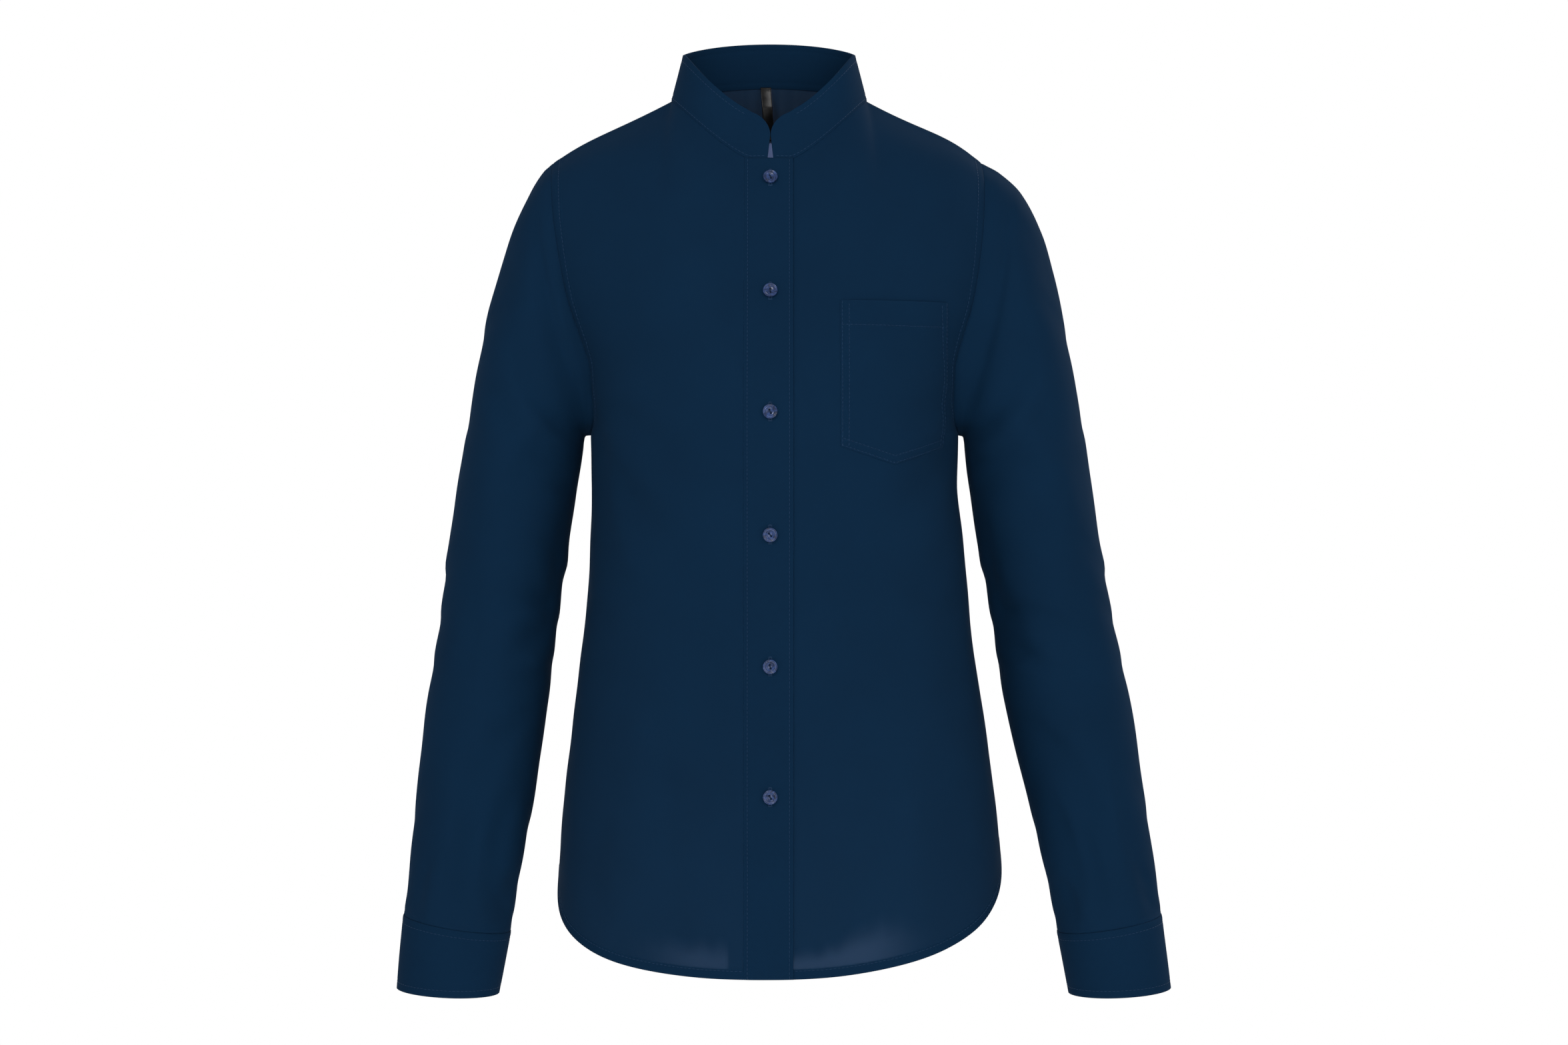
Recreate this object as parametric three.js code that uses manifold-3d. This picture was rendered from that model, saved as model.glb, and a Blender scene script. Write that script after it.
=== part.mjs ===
// Mandarin collar shirt, long sleeved, filled out as worn with no wearer in it.
// Millimetres, +Z up, the front faces -Y and +X is the wearer's left.
// The origin is the middle of the neck base, level with the neck ends of the shoulder seams.
import * as THREE from 'three';
import ManifoldModule from 'manifold-3d';

const wasm = await ManifoldModule();
wasm.setup();

// Cloth thickness, as walls of one or two layers
const panelThick = 1.4;
const collarThick = 2.0;
const cuffThick = 2.0;
const bandThick = 1.2;
const pocketThick = 1.0;
const stripThick = 1.0;
const labelThick = 1.0;
const seamGap = 0.3;
const seamEase = 3.6; // power by which a sharper fold widens the gap
const sharpestFold = 0.6; // cosine of the sharpest fold that a rim is mitred for

// Body
const squareness = 2.3; // exponent of the rounded section, 2 is an ellipse
const underarmZ = -260.5;
const hemFrontZ = -671.7;
const hemBackZ = -677;
// The hem at each side seam, and the power of its curve from the middle; it hangs a little uneven.
const hemSide = { '-1': { z: -601, power: 2.5 }, 1: { z: -580, power: 2.15 } };
const hemRows = 16;
const armRows = 12;
const halfColumns = 13;
const neckColumns = 5; // columns of a half panel that end on the neckline

// Neckline and shoulder seam
const neckHalf = 75.5;
const neckSway = -1.2; // the neckline leans this far to the wearer's right at its sides
const neckFront = 62;
const neckBack = 45;
const neckDrop = 50;
const neckFlat = 15; // half width of the level stretch under the collar ends
const neckPower = 1.3;
const neckBackRise = 15;
const neckBackPower = 1.4;
const shoulderHalf = 167;
const shoulderZ = -48.7;
const shoulderArch = { '-1': 2.6, 1: 4.4 };
const shoulderArchPower = 2.1;
const underarmSway = 2.85; // the body leans this far to the wearer's left at the underarm
const shoulderSway = -2.6;

// Front band, buttons and pocket
const bandHalf = 17.5;
const bandColumns = [-20, -7.5, 5, 17.5]; // from the sewn edge to the free one
const bandTopShort = 0.03; // of a row, by which the band stops short of the collar
const buttonHeights = [-66, -154.5, -245.9, -337.6, -436.8, -535];
const buttonTurns = [20, 5, 25, 40, 15, 30]; // degrees that each button was sewn on turned
const pocketInner = 52.6;
const pocketOuter = 135;
const pocketTopZ = -161;
const pocketCornerZ = -271.6;
const pocketTipZ = -285;
const pocketRows = 8;
const pocketColumns = 10;
const pocketEase = 0.3; // the patch stands this much further off where the chest is round

// Collar
const collarFrontHeight = 40.5;
const collarSideHeight = 37;
const collarBackHeight = 34.4;
const collarCorner = 21;
const collarEndHalf = 2.3; // half of the slit between the collar ends at the seam
const collarEndDraw = 1.3; // the ends come this much nearer each other at the top
const collarSteps = 4;
const cornerShares = [0, 0.055, 0.19, 0.45]; // columns across a rounded corner, as shares of it
// Directions that the cloth stands in above the neck seam, leaning back, forward and inward
const frontLean = new THREE.Vector3(0, 0.35, 0.937);
const backLean = new THREE.Vector3(0, -0.145, 0.989);
const sideLean = { out: -0.25, y: -0.03, z: 0.96 };

// Size label, a ribbon inside the back of the neck
const labelTop = { x: -4, z: 17 };
const labelStandOff = 0.9;
const labelWidth = 8.4;
const labelLength = 42;
const labelLean = 3;
const labelCurl = 1.6;
const labelRows = 8;

// Buttons
const buttonRadius = 5.6;
const buttonRim = 2.3;
const buttonSides = 18;
// Half section of a button: foot, rounded edge, rim and shallow dish
const buttonProfile = [
  { r: 0, up: 0 }, { r: 4.7, up: 0 }, { r: buttonRadius, up: 1 }, { r: 5.1, up: buttonRim },
  { r: 4.3, up: buttonRim }, { r: 3.4, up: 1.6 }, { r: 0, up: 1.5 },
];
const threadHole = 0.65;
const threadHoleOut = 1.35;
const threadHoleSides = 6;

// Sleeves and cuffs
const samplesAround = 24;
const seamRing = 23;
const fadeRings = 7;
const cuffRows = 4;
const cuffOverlap = 2;
const cuffStart = 16; // sample at the back of the arm where the cuff opens
const slitRings = 4;
const stripPoint = 0.35; // height of the strip's pointed top, in ring spacings

// Sections of the body below the underarm
const bodySections = [
  { z: -260.5, half: 142.7, sway: 2.85, front: 130, back: 101 },
  { z: -300, half: 141.8, sway: 3.1, front: 129, back: 95 },
  { z: -340, half: 144.5, sway: 4.8, front: 126, back: 89 },
  { z: -380, half: 147.3, sway: 5.5, front: 122, back: 86 },
  { z: -430, half: 152.5, sway: 5.3, front: 119, back: 89 },
  { z: -480, half: 159.3, sway: 6.4, front: 118, back: 96 },
  { z: -530, half: 165.8, sway: 6.9, front: 119, back: 102 },
  { z: -580, half: 170.8, sway: 7.4, front: 121, back: 107 },
  { z: -630, half: 173.9, sway: 7.5, front: 123, back: 109 },
  { z: -680, half: 175, sway: 7.5, front: 125, back: 110 },
];

// Sections above it, each from the middle of the body to the armhole.
// angle runs round the armhole from underarm to shoulder; arc is how much of a quarter turn it covers.
const chestSections = [
  { angle: 0, midZ: -260.5, midY: -130, armX: 142.8, armY: 0, armZ: -260.5, arc: 90 },
  { angle: 30, midZ: -243, midY: -128, armX: 139, armY: -25, armZ: -247, arc: 80 },
  { angle: 60, midZ: -208, midY: -122, armX: 140, armY: -42, armZ: -209, arc: 72 },
  { angle: 90, midZ: -166, midY: -110, armX: 156, armY: -48, armZ: -156, arc: 66 },
  { angle: 120, midZ: -124, midY: -94, armX: 164.5, armY: -42, armZ: -105, arc: 64 },
  { angle: 150, midZ: -84, midY: -78, armX: 167.5, armY: -24, armZ: -66, arc: 64 },
  { angle: 180, midZ: -50, midY: -62, armX: 167, armY: 0, armZ: -48.7, arc: 64 },
];
const upperBackSections = [
  { angle: 0, midZ: -260.5, midY: 101, armX: 142.8, armY: 0, armZ: -260.5, arc: 90 },
  { angle: 30, midZ: -243, midY: 103, armX: 143, armY: 27, armZ: -246, arc: 80 },
  { angle: 60, midZ: -206, midY: 105, armX: 147, armY: 47, armZ: -208, arc: 72 },
  { angle: 90, midZ: -160, midY: 102.5, armX: 157, armY: 53, armZ: -156, arc: 66 },
  { angle: 120, midZ: -108, midY: 94, armX: 163.5, armY: 46, armZ: -104, arc: 64 },
  { angle: 150, midZ: -50, midY: 74.5, armX: 166.5, armY: 26, armZ: -65, arc: 64 },
  { angle: 180, midZ: 15, midY: 45, armX: 167, armY: 0, armZ: -48.7, arc: 64 },
];

// How far each section takes up the shape of the neckline and shoulder seam
const topShare = [
  { angle: 0, height: 0, plan: 0 },
  { angle: 30, height: 0.12, plan: 0 },
  { angle: 60, height: 0.28, plan: 0 },
  { angle: 90, height: 0.46, plan: 0.05 },
  { angle: 120, height: 0.62, plan: 0.22 },
  { angle: 150, height: 0.84, plan: 0.55 },
  { angle: 180, height: 1, plan: 1 },
];

// Outlines of the sleeves seen from the front: how far the cloth's outer face is from the middle
const rightSleeveOuter = [
  { z: -48.7, x: 169.6 }, { z: -55, x: 176.8 }, { z: -72, x: 187.7 }, { z: -103, x: 201.8 },
  { z: -134, x: 211.6 }, { z: -165, x: 221 }, { z: -228, x: 232.4 }, { z: -290, x: 243.4 },
  { z: -353, x: 252.7 }, { z: -415, x: 260.5 }, { z: -477, x: 269.4 }, { z: -540, x: 275.6 },
  { z: -602, x: 281.8 }, { z: -649, x: 286 }, { z: -688, x: 289 },
];
const rightSleeveInner = [
  { z: -260.5, x: 139.95 }, { z: -261.2, x: 143.1 }, { z: -265, x: 144.9 }, { z: -272, x: 145.9 },
  { z: -290, x: 148.7 }, { z: -306, x: 151.3 }, { z: -337, x: 156 }, { z: -368, x: 160.2 },
  { z: -415, x: 166.4 }, { z: -462, x: 172.6 }, { z: -509, x: 179 }, { z: -555, x: 185.6 },
  { z: -602, x: 194 }, { z: -649, x: 201.8 }, { z: -692, x: 210 },
];
const leftSleeveOuter = [
  { z: -48.7, x: 164.4 }, { z: -56, x: 177.8 }, { z: -72, x: 195 }, { z: -103, x: 211.6 },
  { z: -134, x: 220.5 }, { z: -165, x: 227.8 }, { z: -228, x: 239.2 }, { z: -290, x: 249.6 },
  { z: -353, x: 259 }, { z: -415, x: 270.4 }, { z: -477, x: 282.4 }, { z: -540, x: 291.2 },
  { z: -602, x: 299.5 }, { z: -649, x: 305 }, { z: -688, x: 309.5 },
];
const leftSleeveInner = [
  { z: -260.5, x: 145.65 }, { z: -261.2, x: 148.8 }, { z: -265, x: 150.4 }, { z: -272, x: 151.2 },
  { z: -290, x: 152.9 }, { z: -306, x: 155 }, { z: -337, x: 159.6 }, { z: -368, x: 165.4 },
  { z: -415, x: 173.2 }, { z: -462, x: 181 }, { z: -509, x: 191.3 }, { z: -555, x: 202.3 },
  { z: -602, x: 213.2 }, { z: -649, x: 222.6 }, { z: -692, x: 230.5 },
];

// Sections of a sleeve from the armhole to the cuff seam, ring 23, and on to the cuff's lower edge.
// outZ and inZ are the heights of its outer and inner edge, midY and depth its place and half size
// front to back, and drop how much its front hangs below its back for each millimetre between them.
const sleeveSections = [
  { ring: 0, outZ: -48.7, inZ: -260.5, midY: 0, depth: 48, drop: 0 },
  { ring: 2, outZ: -72, inZ: -261.2, midY: 0, depth: 50, drop: 0 },
  { ring: 4, outZ: -110, inZ: -265, midY: 0, depth: 52, drop: 0 },
  { ring: 6, outZ: -156, inZ: -275, midY: 1, depth: 54, drop: 0 },
  { ring: 8, outZ: -207, inZ: -296, midY: 2, depth: 55, drop: 0 },
  { ring: 10, outZ: -262, inZ: -329, midY: 4, depth: 55, drop: 0 },
  { ring: 12, outZ: -321, inZ: -374, midY: 6, depth: 53.5, drop: 0 },
  { ring: 14, outZ: -383, inZ: -421, midY: 7, depth: 51.5, drop: 0 },
  { ring: 16, outZ: -445, inZ: -470, midY: 4, depth: 48.5, drop: 0.01 },
  { ring: 18, outZ: -507, inZ: -523.5, midY: -3, depth: 45, drop: 0.02 },
  { ring: 20, outZ: -565, inZ: -579, midY: -11, depth: 41, drop: 0.04 },
  { ring: 22, outZ: -612, inZ: -626, midY: -18, depth: 37.5, drop: 0.06 },
  { ring: 23, outZ: -632, inZ: -645, midY: -20.5, depth: 36, drop: 0.07 },
  { ring: 24, outZ: -651.5, inZ: -662, midY: -22.5, depth: 35.2, drop: 0.07 },
  { ring: 26, outZ: -688, inZ: -692, midY: -26, depth: 34, drop: 0.08 },
];
const cuffEndRing = 26;

const mix = (a, b, share) => a + (b - a) * share;
const radians = (degrees) => THREE.MathUtils.degToRad(degrees);

// A smooth curve through one column of a table, read at a value of its key column.
function curve(rows, key, column) {
  const rising = rows[rows.length - 1][key] > rows[0][key];
  const list = rising ? rows : [...rows].reverse();
  const at = (i) => list[i][key];
  const value = (i) => list[i][column];
  const slope = (i) => {
    const low = Math.max(i - 1, 0);
    const high = Math.min(i + 1, list.length - 1);
    return (value(high) - value(low)) / (at(high) - at(low));
  };
  return (where) => {
    const clamped = THREE.MathUtils.clamp(where, at(0), at(list.length - 1));
    let i = 0;
    while (i < list.length - 2 && clamped > at(i + 1)) i += 1;
    const span = at(i + 1) - at(i);
    const t = (clamped - at(i)) / span;
    const rise = value(i + 1) - value(i);
    const way = Math.sign(rise);
    const limit = (3 * Math.abs(rise)) / span;
    const bound = (s) => way * THREE.MathUtils.clamp(s * way, 0, limit);
    const first = bound(slope(i)) * span;
    const last = bound(slope(i + 1)) * span;
    const t2 = t * t;
    const t3 = t2 * t;
    return value(i) * (2 * t3 - 3 * t2 + 1) + first * (t3 - 2 * t2 + t)
      + value(i + 1) * (3 * t2 - 2 * t3) + last * (t3 - t2);
  };
}

// One smooth curve for each column of a table.
function curves(rows, key) {
  const columns = Object.keys(rows[0]).filter((name) => name !== key);
  return Object.fromEntries(columns.map((name) => [name, curve(rows, key, name)]));
}

const body = curves(bodySections, 'z');
const upper = { front: curves(chestSections, 'angle'), back: curves(upperBackSections, 'angle') };
const share = curves(topShare, 'angle');
const outline = {
  '-1': { outer: curve(rightSleeveOuter, 'z', 'x'), inner: curve(rightSleeveInner, 'z', 'x') },
  1: { outer: curve(leftSleeveOuter, 'z', 'x'), inner: curve(leftSleeveInner, 'z', 'x') },
};
const sleeve = curves(sleeveSections, 'ring');

// The rounded section: how far across and how far forward a direction reaches, both at most 1.
const reach = (angle) => (Math.abs(Math.sin(angle)) ** squareness
  + Math.abs(Math.cos(angle)) ** squareness) ** (-1 / squareness);
const across = (angle) => Math.sin(angle) * reach(angle);
const forward = (angle) => Math.cos(angle) * reach(angle);
const angleAcross = (q) => Math.atan2(q, (1 - Math.abs(q) ** squareness) ** (1 / squareness));

const neckWidth = (side) => neckHalf + side * neckSway;

// The neckline at an angle round the neck, 0 at the front, 180 at the back.
function neckPoint(side, turn) {
  const x = neckWidth(side) * Math.sin(radians(turn));
  const ahead = Math.cos(radians(turn));
  if (turn > 90) {
    return new THREE.Vector3(side * x, -neckBack * ahead, neckBackRise * Math.abs(ahead) ** neckBackPower);
  }
  const rise = (Math.max(0, x - neckFlat) / (neckWidth(side) - neckFlat)) ** neckPower;
  return new THREE.Vector3(side * x, -neckFront * ahead, -neckDrop * (1 - rise));
}

const neckTurn = (side, x) => THREE.MathUtils.radToDeg(Math.asin(x / neckWidth(side)));

// The top edge of a half panel: the neckline from its middle, then the shoulder seam.
function topEdge(face, side, x, column) {
  const neckShare = neckColumns / halfColumns;
  const start = neckTurn(side, x);
  if (column <= neckShare) {
    const turn = mix(start, 90, column / neckShare);
    return neckPoint(side, face === 'front' ? turn : 180 - turn);
  }
  const along = (column - neckShare) / (1 - neckShare);
  const end = shoulderHalf + side * shoulderSway;
  const arch = shoulderArch[side] * Math.sin(Math.PI * along ** shoulderArchPower);
  return new THREE.Vector3(side * mix(neckWidth(side), end, along), 0, mix(0, shoulderZ, along) + arch);
}

// A section above the underarm, before it takes up the shape of the top edge.
function plainUpper(face, side, x, angle, column) {
  const part = upper[face];
  const up = THREE.MathUtils.smoothstep(angle, 0, 180);
  const half = part.armX(angle) + side * mix(underarmSway, shoulderSway, up);
  const end = radians(part.arc(angle));
  const start = angleAcross((x * across(end)) / half);
  const turn = mix(start, end, column);
  const back = (1 - forward(turn)) / (1 - forward(end));
  return new THREE.Vector3(
    (side * half * across(turn)) / across(end),
    mix(part.midY(angle), part.armY(angle), back),
    mix(part.midZ(angle), part.armZ(angle), column),
  );
}

// A point of the body. row is 0 at the underarm, armRows at the top edge and -hemRows at the hem.
// column is 0 where the half panel's inner edge lies, x from the middle, and 1 at side and armhole.
function bodyPoint(face, side, x, row, column) {
  if (row > 0) {
    const angle = (180 * row) / armRows;
    const point = plainUpper(face, side, x, angle, column);
    const change = topEdge(face, side, x, column).sub(plainUpper(face, side, x, 180, column));
    point.x += share.plan(angle) * change.x;
    point.y += share.plan(angle) * change.y;
    point.z += share.height(angle) * change.z;
    return point;
  }
  const fall = -row / hemRows;
  const midHem = face === 'front' ? hemFrontZ : hemBackZ;
  const midZ = mix(underarmZ, midHem, fall);
  const start = angleAcross(x / (body.half(midZ) + side * body.sway(midZ)));
  const turn = mix(start, Math.PI / 2, column);
  const hem = mix(midHem, hemSide[side].z, (turn / (Math.PI / 2)) ** hemSide[side].power);
  const z = mix(underarmZ, hem, fall);
  const half = body.half(z) + side * body.sway(z);
  const y = face === 'front' ? -body.front(z) : body.back(z);
  return new THREE.Vector3(side * half * across(turn), y * forward(turn), z);
}

// A point of the front between the panels' inner edges, under the band, or beside it.
const frontPoint = (x, row) => bodyPoint('front', x < 0 ? -1 : 1, Math.abs(x), row, 0);

const normalStep = 0.05;

// The outward direction of a surface given as a point for two parameters, u down and v to the right.
function outward(surface, u, v, low, high) {
  const u1 = Math.min(u + normalStep, high);
  const u0 = Math.max(u - normalStep, low);
  const down = surface(u1, v).sub(surface(u0, v));
  const right = surface(u, v + normalStep).sub(surface(u, v - normalStep));
  return down.cross(right).normalize();
}

// The vertex normals of several grids of cloth together, so that sewn edges share theirs.
function weldedNormals(pieces) {
  const key = (p) => `${p.x.toFixed(3)},${p.y.toFixed(3)},${p.z.toFixed(3)}`;
  const sums = new Map();
  const own = pieces.map(({ grid, closed }) => {
    const normals = grid.map((line) => line.map(() => new THREE.Vector3()));
    const columns = grid[0].length;
    for (let i = 0; i < grid.length - 1; i += 1) {
      for (let j = 0; j < (closed ? columns : columns - 1); j += 1) {
        const k = (j + 1) % columns;
        const first = grid[i + 1][k].clone().sub(grid[i][j]);
        const second = grid[i][k].clone().sub(grid[i + 1][j]);
        const normal = first.cross(second);
        [[i, j], [i + 1, j], [i, k], [i + 1, k]].forEach(([a, b]) => normals[a][b].add(normal));
      }
    }
    return normals;
  });
  pieces.forEach(({ grid }, n) => grid.forEach((line, i) => line.forEach((point, j) => {
    const sum = sums.get(key(point)) ?? new THREE.Vector3();
    sums.set(key(point), sum.add(own[n][i][j].clone().normalize()));
  })));
  return pieces.map(({ grid }, n) => ({
    own: own[n].map((line) => line.map((normal) => normal.clone().normalize())),
    welded: grid.map((line) => line.map((point) => sums.get(key(point)).clone().normalize())),
  }));
}

// Closed cloth from a grid of its middle points: rows run down and columns to the right, seen from
// outside. Rims are cut at the shared normal, like a mitre, and stand half a seam gap back,
// or more where the seam folds sharply, as under the arm.
function clothGeometry({ grid, closed = false }, normals, thick) {
  const rows = grid.length;
  const columns = grid[0].length;
  const positions = [];
  const back = (point, neighbour, amount) => neighbour.clone().sub(point).normalize().multiplyScalar(amount);
  for (const sideways of [1, -1]) {
    for (let i = 0; i < rows; i += 1) {
      for (let j = 0; j < columns; j += 1) {
        const point = grid[i][j];
        const normal = normals.welded[i][j];
        const bend = Math.max(sharpestFold, normal.dot(normals.own[i][j]));
        const place = point.clone().addScaledVector(normal, (sideways * thick) / 2 / bend);
        const inset = seamGap / 2 / bend ** seamEase;
        if (i === 0) place.add(back(point, grid[1][j], inset));
        if (i === rows - 1) place.add(back(point, grid[rows - 2][j], inset));
        if (!closed && j === 0) place.add(back(point, grid[i][1], inset));
        if (!closed && j === columns - 1) place.add(back(point, grid[i][columns - 2], inset));
        positions.push(place.x, place.y, place.z);
      }
    }
  }
  const outer = (i, j) => i * columns + (j % columns);
  const inner = (i, j) => rows * columns + outer(i, j);
  const faces = [];
  const quad = (a, b, c, d) => faces.push(a, b, c, a, c, d);
  const spans = closed ? columns : columns - 1;
  for (let j = 0; j < spans; j += 1) {
    for (let i = 0; i < rows - 1; i += 1) {
      quad(outer(i, j), outer(i + 1, j), outer(i + 1, j + 1), outer(i, j + 1));
      quad(inner(i, j), inner(i, j + 1), inner(i + 1, j + 1), inner(i + 1, j));
    }
    quad(outer(0, j), outer(0, j + 1), inner(0, j + 1), inner(0, j));
    quad(outer(rows - 1, j), inner(rows - 1, j), inner(rows - 1, j + 1), outer(rows - 1, j + 1));
  }
  for (let i = 0; !closed && i < rows - 1; i += 1) {
    const end = columns - 1;
    quad(outer(i, 0), inner(i, 0), inner(i + 1, 0), outer(i + 1, 0));
    quad(outer(i, end), outer(i + 1, end), inner(i + 1, end), inner(i, end));
  }
  const geometry = new THREE.BufferGeometry();
  geometry.setAttribute('position', new THREE.Float32BufferAttribute(positions, 3));
  geometry.setIndex(faces);
  geometry.computeVertexNormals();
  return geometry;
}

const range = (count) => Array.from({ length: count }, (_, i) => i);
const bodyRows = range(armRows + hemRows + 1).map((i) => armRows - i);
const halfRange = range(halfColumns + 1).map((i) => i / halfColumns);

// Front panels. The left one runs on under the band to the right one's edge.
function leftFrontGrid() {
  const under = [-bandHalf, -bandHalf / 3, bandHalf / 3];
  return bodyRows.map((row) => [
    ...under.map((x) => frontPoint(x, row)),
    ...halfRange.map((column) => bodyPoint('front', 1, bandHalf, row, column)),
  ]);
}

const rightFrontGrid = () => bodyRows.map((row) => [...halfRange].reverse()
  .map((column) => bodyPoint('front', -1, bandHalf, row, column)));

// Back panel, from the wearer's left side seam to the right one, seen from behind.
const backGrid = () => bodyRows.map((row) => [
  ...[...halfRange].reverse().map((column) => bodyPoint('back', 1, 0, row, column)),
  ...halfRange.slice(1).map((column) => bodyPoint('back', -1, 0, row, column)),
]);

// The armhole of one side, from the underarm round the side that is seen first, and back.
function armholeLoop(side) {
  const faces = side > 0 ? ['front', 'back'] : ['back', 'front'];
  return range(samplesAround).map((k) => {
    const face = k <= armRows ? faces[0] : faces[1];
    const row = k <= armRows ? k : samplesAround - k;
    return bodyPoint(face, side, face === 'front' ? bandHalf : 0, row, 1);
  });
}

// An oval section of a sleeve at a ring, with the turn measured from its inner edge.
function sleeveOval(side, ring, turn) {
  const outX = outline[side].outer(sleeve.outZ(ring)) - panelThick / 2;
  const inX = outline[side].inner(sleeve.inZ(ring)) + panelThick / 2;
  const out = (1 - Math.cos(turn)) / 2;
  const y = -side * sleeve.depth(ring) * Math.sin(turn);
  return new THREE.Vector3(
    side * mix(inX, outX, out),
    sleeve.midY(ring) + y,
    mix(sleeve.inZ(ring), sleeve.outZ(ring), out) + sleeve.drop(ring) * y,
  );
}

const loops = { '-1': armholeLoop(-1), 1: armholeLoop(1) };

// A point of a sleeve: the oval, bent to the armhole over the first rings. sample may be a fraction.
function sleevePoint(side, ring, sample) {
  const turn = (2 * Math.PI * sample) / samplesAround;
  const point = sleeveOval(side, ring, turn);
  if (ring >= fadeRings) return point;
  const near = loops[side][Math.round(sample) % samplesAround];
  const change = near.clone().sub(sleeveOval(side, 0, turn));
  return point.addScaledVector(change, (1 - ring / fadeRings) ** 2);
}

const sleeveGrid = (side) => range(seamRing + 1)
  .map((ring) => range(samplesAround).map((sample) => sleevePoint(side, ring, sample)));

// Cuffs: an open band round the sleeve end that laps over itself at the back of the arm.
const cuffLap = cuffThick + seamGap;
const lapSteps = [0.35, 0.8]; // shares of the lap over the two samples before it

const cuffEdge = (side) => (side > 0 ? cuffStart : samplesAround - cuffStart);

function cuffPoint(side, step, down, lift) {
  const sample = cuffEdge(side) + step;
  const ring = mix(seamRing, cuffEndRing, down);
  const surface = (u, v) => sleeveOval(side, u, (2 * Math.PI * v) / samplesAround);
  const normal = outward(surface, ring, sample, seamRing, cuffEndRing);
  return surface(ring, sample).addScaledVector(normal, lift);
}

function cuffGrid(side) {
  const steps = range(samplesAround + cuffOverlap + 1).map((i) => (side > 0 ? i : i - cuffOverlap));
  const liftAt = (step) => {
    const before = (side > 0 ? step : samplesAround - step) - (samplesAround - lapSteps.length);
    if (before < 0) return 0;
    return before < lapSteps.length ? cuffLap * lapSteps[before] : cuffLap;
  };
  return range(cuffRows).map((i) => steps.map((step) => (
    cuffPoint(side, step, i / (cuffRows - 1), liftAt(step)))));
}

// Collar: a standing band from end to end round the neckline, with rounded front corners.
const polylineAt = (points, x) => {
  const i = points.findIndex((point, n) => n > 0 && point.x >= x) - 1;
  return points[i].clone().lerp(points[i + 1], (x - points[i].x) / (points[i + 1].x - points[i].x));
};

function collarGrid() {
  const underBand = [-bandHalf, -bandHalf / 3, bandHalf / 3, bandHalf].map((x) => frontPoint(x, armRows));
  const half = (side) => {
    const corner = cornerShares.map((part) => {
      const x = side * (collarEndHalf + part * collarCorner);
      return { foot: polylineAt(underBand, x), turn: neckTurn(side, Math.abs(x)) };
    });
    const front = range(neckColumns + 1).map((i) => mix(neckTurn(side, bandHalf), 90, i / neckColumns));
    const rear = range(neckColumns).map((i) => mix(90, 180, (i + 1) / neckColumns));
    return [...corner, ...[...front, ...rear].map((turn) => ({ foot: neckPoint(side, turn), turn }))];
  };
  const rise = (side, foot, turn) => {
    const ahead = Math.abs(Math.cos(radians(turn))) ** (turn < 90 ? 2 : neckBackPower);
    const end = turn < 90
      ? frontLean.clone().multiplyScalar(collarFrontHeight)
      : backLean.clone().multiplyScalar(collarBackHeight);
    const flank = new THREE.Vector3(side * sideLean.out, sideLean.y, sideLean.z);
    const up = end.multiplyScalar(ahead).addScaledVector(flank, collarSideHeight * (1 - ahead));
    const inFromEnd = turn < 90 ? Math.min(collarCorner, Math.abs(foot.x) - collarEndHalf) : collarCorner;
    const cut = collarCorner - Math.sqrt(collarCorner ** 2 - (collarCorner - inFromEnd) ** 2);
    return up.multiplyScalar(1 - cut / collarFrontHeight)
      .add(new THREE.Vector3(-side * collarEndDraw * (1 - inFromEnd / collarCorner), 0, 0));
  };
  const columns = [
    ...half(1).map((at) => ({ ...at, up: rise(1, at.foot, at.turn) })),
    ...half(-1).slice(0, -1).reverse().map((at) => ({ ...at, up: rise(-1, at.foot, at.turn) })),
  ];
  return range(collarSteps + 1).map((i) => columns
    .map(({ foot, up }) => foot.clone().addScaledVector(up, 1 - i / collarSteps)));
}

// A grid moved out from a surface, which clears what it lies on by the seam gap.
function liftedGrid(surface, rows, columns, lift) {
  const low = Math.min(...rows);
  const high = Math.max(...rows);
  return rows.map((u) => columns.map((v) => surface(u, v)
    .addScaledVector(outward(surface, u, v, low, high), lift)));
}

const onPanel = (thick) => panelThick / 2 + seamGap + thick / 2;

// Front band: a strip on both front panels, down the middle from collar to hem.
function bandGrid() {
  const surface = (u, x) => frontPoint(x, -u);
  const rows = bodyRows.map((row) => -row);
  rows[0] += bandTopShort;
  return liftedGrid(surface, rows, bandColumns, onPanel(bandThick));
}

// The value between two limits where a rising function reaches a target.
function solve(rising, target, low, high) {
  const halvings = 30;
  let [below, above] = [low, high];
  for (let n = 0; n < halvings; n += 1) {
    const middle = (below + above) / 2;
    if (rising(middle) < target) below = middle;
    else above = middle;
  }
  return below;
}

// Chest pocket: a patch on the left front with a point in the middle of its lower edge.
// Its columns are spread evenly over the cloth between its two upright edges.
function pocketGrid() {
  const left = (row, column) => bodyPoint('front', 1, bandHalf, row, column);
  const columnAt = (row, x) => solve((column) => left(row, column).x, x, 0, 1);
  const onPocket = (row, over) => (
    left(row, mix(columnAt(row, pocketInner), columnAt(row, pocketOuter), over)));
  const surface = (down, over) => {
    const lowRow = solve((row) => onPocket(row, over).z, pocketCornerZ, -hemRows, armRows);
    const fromInner = (onPocket(lowRow, over).x - pocketInner) / (pocketOuter - pocketInner);
    const fromTip = Math.min(1, Math.abs(2 * fromInner - 1));
    const z = mix(pocketTopZ, mix(pocketTipZ, pocketCornerZ, fromTip), down);
    return onPocket(solve((row) => onPocket(row, over).z, z, -hemRows, armRows), over);
  };
  const rows = range(pocketRows + 1).map((i) => i / pocketRows);
  const columns = range(pocketColumns + 1).map((i) => i / pocketColumns);
  return liftedGrid(surface, rows, columns, onPanel(pocketThick) + pocketEase);
}

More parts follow.
